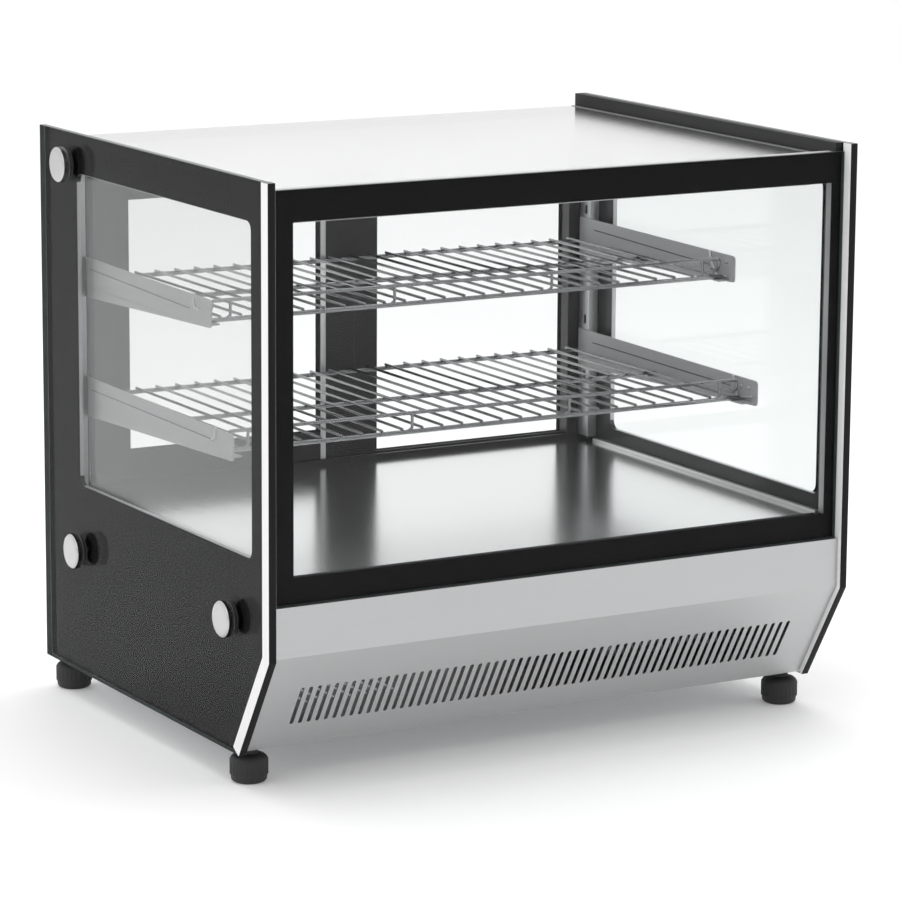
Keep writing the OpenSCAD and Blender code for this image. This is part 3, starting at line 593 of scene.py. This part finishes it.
SEGMENTS = {"a": (0, 1, 0), "b": (1, 0.5, 1), "c": (1, -0.5, 1), "d": (0, -1, 0), "e": (-1, -0.5, 1),
            "f": (-1, 0.5, 1), "g": (0, 0, 0)}
for place, shown in ((0.029, "bcfg"), (0.013, "abcdef")):
    for key in shown:
        sx, sz, tall = SEGMENTS[key]
        x, z = window_x + place - sx * 0.0033, window_z + sz * 0.0062
        a, b = (0.0005, 0.0027) if tall else (0.0029, 0.0005)
        digits.grid(rounded_block((x - a, bezel_face - 0.0003, z - b),
                                  (x + a, bezel_face, z + b), 0.0001, 1))
digits.build("display_digits", segment_red, "cabinet", "rocker_red")

gland_low, gland_high = box_of("cord_gland")
gland_mid = (gland_low + gland_high) / 2
gland = [(0.0045, 0.0), (0.014, 0.0), (0.014, 0.006), (0.0099, 0.006), (0.0099, 0.0076),
         (0.0095, 0.0084), (0.0078, 0.0093), (0.0062, 0.0095), (0.005, 0.0094), (0.0045, 0.009)]
gland_shape = Shape()
gland_at = (gland_mid[0], gland_low[1], gland_mid[2])
gland_shape.grid(turned(gland + [(0.0045, 0.0)], gland_at, (0, 1, 0), 48), ends=False)
gland_shape.build("cord_gland_body", grommet_rubber, "cabinet", "rubber", ("cord_gland",))
nut = Shape()
hexagon = np.linspace(0, 2 * np.pi, 6, endpoint=False)
wall_y = back_high[1]
outer, inner = (np.stack([gland_mid[0] + r * np.cos(hexagon), gland_mid[2] + r * np.sin(hexagon)], 1)
                for r in (0.0132, 0.0101))
rows = [(inner, wall_y), (outer, wall_y), (outer, wall_y + 0.0035), (inner, wall_y + 0.0042),
        (inner, wall_y)]
nut.grid(np.array([np.stack([r[:, 0], np.full(6, y), r[:, 1]], 1) for r, y in rows])[:, ::-1],
         ends=False)
nut.build("cord_gland_nut", foot_plastic, "cabinet", "plastic_black", smooth=20.0)

# ---- Deck ----
# The floor of the display is one sheet of mirror-polished stainless with a low side strip each
# side, where the wall panes stand behind it.

deck_steel = brushed_stainless("deck_steel", (0.98, 0.98, 0.98), 0.13, 1, 0.03, 0.02, 0.05)
strip_steel = brushed_stainless("strip_steel", (0.8, 0.8, 0.79), 0.3, 1)
dress("deck_plate", deck_steel)
dress("deck_trim", strip_steel, 0.0004)

# ---- Side panels ----
# Each side is an insulated unit: a clear inner pane, a black foam-filled spacer round the window
# and an outer pane with a black border fired on its back. The border is painted twice as pale as
# the front's: painted light on the lit side.


def clear_pane(name, axis, gloss=1.0, clean=0.985, tint=(0.99, 0.997, 0.995), haze=0.002):
    """Flat glass seen through: a clear shader and a mirror one, mixed by Schlick's rule, which is
    0.04 + 0.96 x (1 - cosine)^5 on either side of the pane. Dried dust dulls the mirror in drifts.
    Faces that don't look along axis are the ground edges, drawn as dark green solid glass."""
    material, at = new_finish(name)
    facing = at.make("LayerWeight", None, {"Blend": 0.5}, 1)
    dust = at.noise(3.5, 6.0, 0.65)
    mirror = (facing ** 5.0 * 0.96 + 0.04) * gloss
    reflect = coated(at, dust.blend((0.95, 0.95, 0.95), (1.0, 1.0, 1.0)), dust * 0.012 + haze, 1.0)
    let = at.make("BsdfTransparent", None, {"Color": tuple(clean * c for c in tint)})
    pane = at.make("MixShader", None, {0: mirror, 1: let, 2: reflect})
    edge = coated(at, at.noise(40.0).blend((0.03, 0.045, 0.042), (0.08, 0.105, 0.098)), 0.3)
    side = at.make("NewGeometry", None, None, 1).part(axis)
    is_edge = at.sum("LESS_THAN", at.sum("ABSOLUTE", side), 0.5)
    return done(material, at.make("MixShader", None, {0: is_edge, 1: pane, 2: edge}))


def fired_black(name, shade, rough=0.35):
    """Fired enamel: near-black with a faint cloud, rougher here and there."""
    material, at = new_finish(name)
    cloud, pins = at.noise(7.0, 2.0), at.noise(900.0, 2.0)
    colour = cloud.blend((shade * 0.85,) * 3, (shade * 1.2, shade * 1.12, shade * 1.17))
    return done(material, coated(at, colour, pins * 0.1 + rough, Specular_IOR_Level=0.0))


side_pane = clear_pane("side_pane_glass", 0, 0.22)
inner_panes = {"left": clear_pane("left_inner_pane_glass", 0, 1.05, 0.9, (1.0, 0.99, 0.995)),
               "right": clear_pane("right_inner_pane_glass", 0, 0.5)}
# Painted light: the side border's black is twice as pale as the front border's.
side_enamel_painted_light = fired_black("side_enamel_painted_light", 0.012)
spacer_black = moulded_black("spacer_black", 700.0, 0.6, 0.012)
for side in ("left", "right"):
    dress("side_glass_" + side, side_pane)
    dress("side_inner_glass_" + side, inner_panes[side])
    dress("side_border_" + side, side_enamel_painted_light, shrink=0.00006)
    dress("side_spacer_" + side, spacer_black)

# Bright aluminium spacer bars line each window between its two panes.
bar_alloy = bare_metal("spacer_bar_alloy", (0.62, 0.63, 0.64), 0.4, (300.0, 40.0, 40.0))
print_x, liner_x = box_of("side_border_right")[0][0], box_of("side_inner_glass_right")[1][0]
OPEN_FRONT, OPEN_REAR, OPEN_LOW, OPEN_TOP, BAR = -0.2335, 0.192, 0.2415, 0.584, 0.0007
for side, sign in (("left", -1), ("right", 1)):
    near, far = sorted((sign * (liner_x + 0.0002), sign * (print_x - 0.0002)))
    bars = Shape()
    for y in (OPEN_REAR - BAR, OPEN_FRONT):
        bars.grid(rounded_block((near, y, OPEN_LOW + 0.01), (far, y + BAR, OPEN_TOP - 0.01), 0.0002))
    for z in (OPEN_LOW, OPEN_TOP - BAR):
        bars.grid(rounded_block((near, OPEN_FRONT + 0.01, z), (far, OPEN_REAR - 0.01, z + BAR), 0.0002))
    bars.build("side_spacer_bars_" + side, bar_alloy, "cabinet", "bare_aluminium")

# ---- Edge trims ----
# A folded aluminium channel closes each side's front edge, bent once at the knee. Its front web is
# black, and its flanks are painted white as a highlight.


def carried(profile, path, across):
    """A closed profile carried along a bent path, mitred: at each bend the section lies in the
    plane that halves the angle and is stretched by 1 / cos(half angle). across is the fixed
    direction that every section shares."""
    path, across = np.asarray(path, float), np.asarray(across, float)
    legs = np.diff(path, axis=0)
    legs /= np.linalg.norm(legs, axis=1)[:, None]
    before, after = np.concatenate([legs[:1], legs]), np.concatenate([legs, legs[-1:]])
    half_way = before + after
    half_way /= np.linalg.norm(half_way, axis=1)[:, None]
    stretch = 1.0 / (half_way * before).sum(1)
    inward = np.cross(across, half_way) * stretch[:, None]
    profile = np.asarray(profile, float)
    return path[:, None] + profile[None, :, :1] * across + profile[None, :, 1:] * inward[:, None]


def trim_with_painted_highlight():
    """Black on the web, with a painted white highlight on the flanks, split where the surface turns
    to face forward. A fine along-the-length grain shows on both."""
    material, at = new_finish("trim_black_with_painted_highlight")
    facing = at.sum("ABSOLUTE", at.make("NewGeometry", None, None, 1).part(0))
    # Painted highlight: faces that look sideways are coloured white.
    painted_highlight_flank = at.make("MapRange", None, {0: facing, 1: 0.55, 2: 0.75}, 0)
    grain = at.scaled((600.0, 600.0, 12.0)).noise(1.0, 3.0)
    white = grain.blend((0.86, 0.86, 0.86), (0.97, 0.97, 0.97))
    black = grain.blend((0.006, 0.005, 0.006), (0.02, 0.018, 0.02))
    colour = painted_highlight_flank.blend(black, white)
    return done(material, coated(at, colour, grain * 0.12 + 0.32, height=grain, strength=0.05,
                                 Specular_IOR_Level=0.12))


trim_finish = trim_with_painted_highlight()
KNEE_Z, SLOPE_RUN = 0.146, 0.068
for side, sign in (("left", -1), ("right", 1)):
    low, high = box_of("edge_trim_" + side)
    outside = max(-low[0], high[0])
    width = high[0] - low[0]
    path = [(0, low[1], high[2]), (0, low[1], KNEE_Z), (0, low[1] + SLOPE_RUN, low[2])]
    wall, deep, soft = 0.0014, 0.014, 0.0009
    bend = np.linspace(0, np.pi / 2, 5)
    a = np.stack([soft - soft * np.cos(bend), soft - soft * np.sin(bend)], 1)
    mirrored = np.stack([width - a[::-1, 0], a[::-1, 1]], 1)
    profile = np.concatenate([
        [(0.0, deep)], a, mirrored, [(width, deep)], [(width - wall, deep)],
        [(width - wall, wall + 0.0003)], [(wall, wall + 0.0003)], [(wall, deep)]])
    profile[:, 0] = profile[:, 0] + outside - width
    profile[:, 0] *= sign
    if sign > 0:
        profile = profile[::-1]
    Shape().grid(carried(profile, path, (1, 0, 0))).build(
        "edge_trim_channel_" + side, trim_finish, "cabinet", "trim_white", ("edge_trim_" + side,), 30.0)

# ---- Cap nuts ----
# Three turned stainless cap nuts a side hold the unit to the frame, each standing off the glass
# on a black collar. The rim is finely milled and the face shows its turning marks.


def turned_face(name, colour, rough, places):
    """Turning marks: rings round each nut's own axis, from the distance to the nearest axis. The
    rim, whose surface turns away from X, is painted near-black as shade."""
    material, at = new_finish(name)
    near = None
    for y, z in places:
        dy, dz = at.part(1) - y, at.part(2) - z
        distance = at.sum("SQRT", dy * dy + dz * dz)
        near = distance if near is None else at.sum("MINIMUM", near, distance)
    rings = at.make("CombineXYZ", None, {0: near * 1400.0}).noise(1.0, 2.0)
    cloud = at.noise(60.0)
    shade = rings * 0.7 + cloud * 0.3
    dark = tuple(c * 0.72 for c in colour)
    across = at.sum("ABSOLUTE", at.make("NewGeometry", None, None, 1).part(0))
    # Painted shade: the rim, facing away from X, is coloured near-black.
    rim = at.sum("LESS_THAN", across, 0.6)
    colours = rim.blend(shade.blend(dark, colour), (0.09, 0.09, 0.095))
    return done(material, coated(at, colours, rings * 0.12 + rough, 1.0,
                                 height=rings, strength=0.15, depth=0.0001))


caps = [(0.201, 0.593), (0.1775, 0.172), (-0.187, 0.175)]
cap_steel = turned_face("cap_steel", (0.64, 0.64, 0.64), 0.24, caps)
face_x = box_of("side_caps")[1][0]
stand = 0.3545  # where a nut's back meets its collar
for sign, side in ((-1, "left"), (1, "right")):
    nuts, collars = Shape(), Shape()
    for y, z in caps:
        r, tall = 0.019, face_x - stand
        head = [(0.0155, 0.0), (r - 0.0004, 0.0), (r, 0.0005), (r, 0.0012), (r, 0.0045),
                (r, tall - 0.0022),
                (r - 0.0003, tall - 0.0016), (r - 0.0013, tall - 0.0004), (r - 0.0022, tall),
                (0.012, tall - 0.0001), (0.006, tall), (0.0004, tall)]
        nuts.grid(turned(head, (sign * stand, y, z), (sign, 0, 0), 120, 0.00055, 60,
                         (0.0011, tall - 0.0021)))
        neck = [(0.0165, -0.0049), (0.0165, -0.001), (0.016, 0.0), (0.0004, 0.0001)]
        collars.grid(turned(neck, (sign * stand, y, z), (sign, 0, 0), 48))
    nuts.build("cap_nuts_" + side, cap_steel, "cabinet", "cap_steel", ("side_caps",), 28.0)
    collars.build("cap_collars_" + side, grommet_rubber, "cabinet", "rubber", ("cap_washers",))

# ---- Front and top glazing ----
# Two insulated units. The front one has a wide black border fired on the back of its outer pane;
# the top one lies between the side panels. Pale strips of sealant close their joints.

front_enamel = fired_black("front_enamel", 0.006)
front_pane = clear_pane("front_pane_glass", 1, 0.12, 0.975, (1.0, 0.997, 1.0))
front_inner_pane = clear_pane("front_inner_pane_glass", 1, 0.12)
top_pane = clear_pane("top_pane_glass", 2, 1.5, haze=0.17)
dress("front_glass", front_pane)
dress("front_border", front_enamel, shrink=0.00006)
dress("front_inner_glass", front_inner_pane)
dress("top_glass", top_pane)
dress("top_inner_glass", top_pane)
dress("glazing_spacers", spacer_black)


def sealant(name, colour):
    """A tooled bead of silicone: slightly uneven, soft sheen."""
    material, at = new_finish(name)
    wave = at.noise(70.0, 3.0)
    dark = tuple(c * 0.85 for c in colour)
    return done(material, coated(at, wave.blend(dark, colour), 0.45, height=wave, depth=0.0006))


pale_sealant = sealant("pale_sealant", (0.55, 0.56, 0.57))
grey_sealant = sealant("grey_sealant", (0.16, 0.165, 0.17))
top_low, top_high = box_of("top_glass")
inside_low, inside_high = box_of("front_inner_glass")
glass_low, glass_high = box_of("front_glass")


def bead(start, end, size, up=(0, 0, 1), lift=0.5):
    """A straight bead: a flat-bottomed arch, size wide and lift times as high, along a line."""
    start, end = np.asarray(start, float), np.asarray(end, float)
    ahead = (end - start) / np.linalg.norm(end - start)
    across = np.cross(ahead, up)
    t = np.linspace(0, np.pi, 9)
    ring = np.stack([np.cos(t) * size / 2, np.sin(t) * size * lift], 1)
    ring = np.concatenate([ring, [(-size / 2, -0.0002), (size / 2, -0.0002)]])[::-1]
    step = np.linspace(0, 1, 12)[:, None, None]
    return start + (end - start) * step + ring[:, :1] * across + ring[:, 1:] * np.asarray(up, float)


joints = Shape()
joints.grid(rounded_block((top_low[0], glass_high[1] + 0.0004, top_high[2]),
                          (top_high[0], inside_high[1], glass_high[2] - 0.0006), 0.0008, 0))
joints.build("front_top_seal", pale_sealant, "cabinet", "rubber")
side_joints = Shape()
for x in (top_low[0] + 0.0028, top_high[0] - 0.0028):
    side_joints.grid(bead((x, inside_high[1] + 0.001, top_high[2]),
                          (x, top_high[1] - 0.001, top_high[2]), 0.0066, lift=0.1))
side_joints.build("top_side_seals", grey_sealant, "cabinet", "rubber")
front_bars = Shape()
for x in (inside_low[0] + 0.0035, inside_high[0] - 0.0042):
    front_bars.grid(rounded_block((x, glass_high[1] + 0.0008, glass_low[2] + 0.026),
                                  (x + 0.0007, inside_low[1] - 0.0002, top_low[2] - 0.022), 0.0002))
front_bars.build("front_spacer_bars", bar_alloy, "cabinet", "bare_aluminium")
black_sealant = sealant("black_sealant", (0.02, 0.02, 0.022))
floor_joints = Shape()
deck_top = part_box("deck_plate")[1][2]
floor_joints.grid(bead((inside_low[0] + 0.006, inside_high[1] + 0.0022, deck_top),
                       (inside_high[0] - 0.006, inside_high[1] + 0.0022, deck_top), 0.004))
floor_joints.build("deck_front_seal", black_sealant, "cabinet", "rubber")

# ---- Rear frame ----
# Black-painted aluminium: two posts, a grooved header and a stepped sill with two door tracks.
# The posts stand on the sill at the side panels and carry the header.

frame_black = lacquered("frame_black", (0.016, 0.0145, 0.0155), 0.28, 400.0)
for node in ("rear_posts", "rear_header", "rear_sill"):
    dress(node, frame_black, 0.0006)

# ---- Sliding doors ----
# Each door is a black frame round one pane, sealed with a rubber wedge, running on two nylon
# glides. The inner door closes the left half and the outer the right; a polished strip covers the
# inner door's meeting stile. The pulls are pressed cups.

door_pane = clear_pane("door_pane_glass", 1, 0.2)
wedge_rubber = moulded_black("wedge_rubber", 900.0, 0.7, 0.014)
pull_steel = brushed_stainless("pull_steel", (0.78, 0.78, 0.77), 0.26, 2)
meeting_strip = brushed_stainless("meeting_strip_steel", (0.9, 0.9, 0.9), 0.2, 2)


def wedge_frame(low, high, face, sign, size):
    """A closed square loop of half-round rubber standing on the glass, mitred at its corners by
    placing each corner's section on the diagonal."""
    corners = np.array([(low[0], low[2]), (high[0], low[2]), (high[0], high[2]), (low[0], high[2]),
                        (low[0], low[2])])
    outward = np.array([(-1, -1), (1, -1), (1, 1), (-1, 1), (-1, -1)])
    t = np.linspace(0, np.pi, 7)
    reach = size / 2 * (1 + np.cos(t))
    x = corners[:, 0][:, None] - outward[:, 0][:, None] * reach
    z = corners[:, 1][:, None] - outward[:, 1][:, None] * reach
    y = face + sign * (size / 2 * np.sin(t) + 0.0001)
    return np.stack([x, np.broadcast_to(y, x.shape), z], 2)


# A pull's rings from its back, over the rim and down into the cup: how far each lies inside the
# outline and behind the door's face, and the power of its superellipse.
CUP = ((0.0, 0.0068, 9), (0.0, 0.0003, 9), (0.0001, 0.0, 9), (0.0003, -0.0003, 9),
       (0.0022, -0.0004, 7), (0.0028, 0.0002, 7), (0.0031, 0.003, 7), (0.0036, 0.0046, 6),
       (0.0046, 0.0053, 5), (0.0065, 0.0055, 4), (0.0092, 0.0056, 3))
for door in ("inner_door", "outer_door"):
    dress(door + "_frame", frame_black, 0.0007)
    dress(door + "_glass", door_pane)
    g_low, g_high = box_of(door + "_glass")
    seal = Shape()
    for face, sign in ((g_low[1], -1), (g_high[1], 1)):
        points = wedge_frame(g_low + 0.004, g_high - 0.004, face, sign, 0.0016)
        seal.grid(points[::-1] if sign > 0 else points, ends=False)
    seal.build(door + "_glass_wedge", wedge_rubber, door, "rubber")
    p_low, p_high = box_of(door + "_pull")
    middle, (half_w, _, half_h) = (p_low + p_high) / 2, (p_high - p_low) / 2
    angle = np.linspace(0, 2 * np.pi, 64, endpoint=False)
    rings = []
    for inset, depth, squareness in CUP:
        c, s = np.cos(angle), np.sin(angle)
        k = (np.abs(c) ** squareness + np.abs(s) ** squareness) ** (-1.0 / squareness)
        w, h = max(half_w - inset, 0.0004), half_h - inset
        rings.append(np.stack([middle[0] + c * k * w, np.full(64, p_high[1] - depth),
                               middle[2] + s * k * h], 1))
    Shape().grid(np.array(rings)[:, ::-1]).build(
        door + "_pull_cup", pull_steel, door, "bare_aluminium", (door + "_pull",))

f_low, f_high = box_of("inner_door_frame")
strip_x = -0.0195
strip = Shape()
strip.grid(rounded_block((strip_x + 0.0005, f_low[1] - 0.0006, f_low[2] + 0.004),
                         (strip_x + 0.007, f_low[1] + 0.0002, f_high[2] - 0.004), 0.0003))
strip.build("inner_door_meeting_strip", meeting_strip, "inner_door", "bare_aluminium")

# ---- Uprights and brackets ----
# A slotted steel channel stands at the rear of each wall. Pressed brackets hook into its slots and
# carry the shelves on a turned-in ledge.

upright_steel = brushed_stainless("upright_steel", (0.74, 0.75, 0.76), 0.3, 2)
bracket_grey = lacquered("bracket_grey", (0.47, 0.48, 0.485), 0.34, 350.0)
dress("shelf_uprights", upright_steel, 0.0003)
for node in ("upper_brackets", "lower_brackets"):
    dress(node, bracket_grey, 0.0004)

rivets = Shape()
for node, drop in (("upper_brackets", 0.012), ("lower_brackets", 0.013)):
    low, high = box_of(node)
    for sign in (-1, 1):
        for y in (low[1] + 0.016, low[1] + 0.03):
            pan_screw(rivets, (sign * 0.3205, y, high[2] - drop), (-sign, 0, 0), 0.0022)
rivets.build("bracket_rivets", pan_steel, "cabinet", "bracket_grey")

# The shade in a pressed groove along both faces of each bracket, a little above its ledge, is
# painted: a thin dark bead stands proud of the face.
groove_shade_paint = moulded_black("bracket_groove_shadow", 900.0, 0.6, 0.05)
groove_shade_beads = Shape()
for rear, front in (((0.205, 0.4758), (-0.04, 0.469)), ((0.205, 0.3428), (-0.086, 0.3398))):
    for x, out in ((0.322, 1), (0.3205, -1)):
        for sign in (-1, 1):
            groove_shade_beads.grid(bead((sign * x, *front), (sign * x, *rear), 0.0013, (sign * out, 0, 0), 0.25))
groove_shade_beads.build("bracket_groove_shade_beads", groove_shade_paint, "cabinet", "bracket_grey")

# ---- Wire shelves ----
# Chromed wire racks: three long rods, twenty-six cross wires welded on top, and a guard rail at the
# front on short ties, its ends bent down into hooks.


def tube(path, r, sides=10, up=(0.3, 0.5, 0.81)):
    """A round wire along a path: circles square to the path's direction, whose radius follows a
    quarter circle at both ends so that they are domed."""
    path = np.asarray(path, float)
    ahead = np.gradient(path, axis=0)
    ahead /= np.linalg.norm(ahead, axis=1)[:, None]
    first, last = ahead[0], ahead[-1]
    t = np.linspace(0.15, np.pi / 2, 4)[:-1]
    nose = path[0] - first * r * np.cos(t)[:, None]
    tail = path[-1] + last * r * np.cos(t[::-1])[:, None]
    path = np.concatenate([nose, path, tail])
    ahead = np.concatenate([np.repeat(first[None], 3, 0), ahead, np.repeat(last[None], 3, 0)])
    radius = np.concatenate([r * np.sin(t), np.full(len(path) - 6, r), r * np.sin(t[::-1])])
    side = np.cross(ahead, up)
    side /= np.linalg.norm(side, axis=1)[:, None]
    lift = np.cross(ahead, side)
    angle = np.linspace(0, 2 * np.pi, sides, endpoint=False)
    ring = np.cos(angle)[:, None] * side[:, None] + np.sin(angle)[:, None] * lift[:, None]
    return path[:, None] + radius[:, None, None] * ring


def bent(points, r, steps=6):
    """Corner points joined by straight legs and quarter-round bends: each corner is replaced by a
    quadratic curve that leaves the legs r before it and after it."""
    points = np.asarray(points, float)
    out = [points[:1]]
    t = np.linspace(0, 1, steps)[:, None]
    for before, corner, after in zip(points[:-2], points[1:-1], points[2:]):
        a = corner + (before - corner) / np.linalg.norm(before - corner) * r
        b = corner + (after - corner) / np.linalg.norm(after - corner) * r
        out.append((1 - t) ** 2 * a + 2 * t * (1 - t) * corner + t ** 2 * b)
    out.append(points[-1:])
    return np.concatenate(out)


def chromed(name):
    """Bright chromed wire: dull where the weld spatter and the long drawing lines are."""
    material, at = new_finish(name)
    cloud, lines = at.noise(45.0, 3.0), at.noise(900.0, 2.0)
    shade = cloud * 0.6 + lines * 0.4
    return done(material, coated(at, shade.blend((0.20, 0.205, 0.21), (0.36, 0.365, 0.37)),
                                 cloud * 0.16 + 0.14, 1.0, height=lines, strength=0.08, depth=0.0001))


wire_chrome = chromed("wire_chrome")
hook_steel = bare_metal("hook_steel", (0.86, 0.86, 0.87), 0.3, (90.0, 90.0, 90.0))
# The guard's end hooks: the leg inside each bracket, then the end that comes out through it.
HOOKS = {"upper_shelf": (((-0.0404, 0.4851), (-0.0449, 0.4722), (-0.0574, 0.4582), (-0.0753, 0.4607)),
                         ((-0.0504, 0.4803), (-0.0537, 0.4717), (-0.062, 0.4717))),
         "lower_shelf": (((-0.0925, 0.3534), (-0.0986, 0.3385), (-0.1015, 0.329), (-0.129, 0.3343)),
                         ((-0.0989, 0.3509), (-0.0988, 0.3425), (-0.0895, 0.3389)))}
WIRES, PITCH, ROD, CROSS, GUARD = 26, 0.0242, 0.0025, 0.0016, 0.002
for shelf in ("upper_shelf", "lower_shelf"):
    low, high = box_of(shelf)
    z, front, rear, end = low[2] + ROD, low[1] + ROD, 0.232, high[0]
    rack = Shape()
    for y in (front, (front + rear) / 2, rear):
        rack.grid(tube([(-end + ROD, y, z), (0, y, z), (end - ROD, y, z)], ROD, 14))
    top_z = z + ROD + CROSS - 0.0005
    for i in range(WIRES):
        x = (i - (WIRES - 1) / 2) * PITCH
        rack.grid(tube([(x, front, top_z), (x, (front + rear) / 2, top_z),
                        (x, rear + 0.0025, top_z)], CROSS))
    guard_z, reach = z + 0.020, end - 0.0052
    right_half = [(reach - 0.012, front, guard_z), (reach, front, guard_z), (reach, front, z + 0.012),
                  (reach, front + 0.004, z + 0.0062), (reach, front + 0.016, z + 0.0062)]
    hook = [(-a, b, c) for a, b, c in right_half[::-1]] + right_half
    rack.grid(tube(bent(hook, 0.0038), GUARD, 12))
    for x in np.array((-12, -4, 4, 12)) * PITCH:
        tie = [(x - 0.004, front, z + ROD * 0.5), (x, front, z + 0.004),
               (x, front, guard_z), (x + 0.0001, front, guard_z + 0.0012)]
        rack.grid(tube(bent(tie, 0.0015), CROSS))
    rack.build(shelf + "_rack", wire_chrome, shelf, "wire_grey", (shelf,), 60.0)
    hooks = Shape()
    for sign in (-1, 1):
        for x, points in zip((0.3192, 0.3232), HOOKS[shelf]):
            hooks.grid(tube(bent([(sign * x, y, z) for y, z in points], 0.003), 0.0011))
    hooks.build(shelf + "_end_hooks", hook_steel, shelf, "wire_grey")

# ---- Lamp ----
# A slim lamp in an aluminium channel under the top glass, behind the front's upper border. Its opal
# tube glows faintly and has a metal cap at each end.

dress("lamp_housing", fin_aluminium, 0.0005)
lamp_low, lamp_high = box_of("lamp_tube")
lamp_mid, lamp_r = (lamp_low + lamp_high) / 2, (lamp_high[2] - lamp_low[2]) / 2
opal_mat, at = new_finish("opal_tube")
milk = at.noise(30.0)
tone = milk.blend((0.9, 0.9, 0.86), (0.98, 0.98, 0.95))
opal = done(opal_mat, coated(at, tone, 0.3, Emission_Color=tone, Emission_Strength=0.8))
length = lamp_high[0] - lamp_low[0]
tube_profile = [(lamp_r * 0.97, 0.012), (lamp_r * 0.97, length - 0.012)]
Shape().grid(turned(tube_profile, (lamp_low[0], lamp_mid[1], lamp_mid[2]), (1, 0, 0), 40)) \
    .build("lamp_tube_glass", opal, "cabinet", "lamp_white", ("lamp_tube",))
lamp_caps = Shape()
for start, way in ((lamp_low[0], 1), (lamp_high[0], -1)):
    lamp_caps.grid(turned([(0.0004, 0.0), (lamp_r - 0.001, 0.0), (lamp_r, 0.001), (lamp_r, 0.012),
                           (lamp_r - 0.0004, 0.0125), (0.0004, 0.0125)],
                          (start, lamp_mid[1], lamp_mid[2]), (way, 0, 0), 40))
lamp_caps.build("lamp_tube_caps", pan_steel, "cabinet", "bare_aluminium")
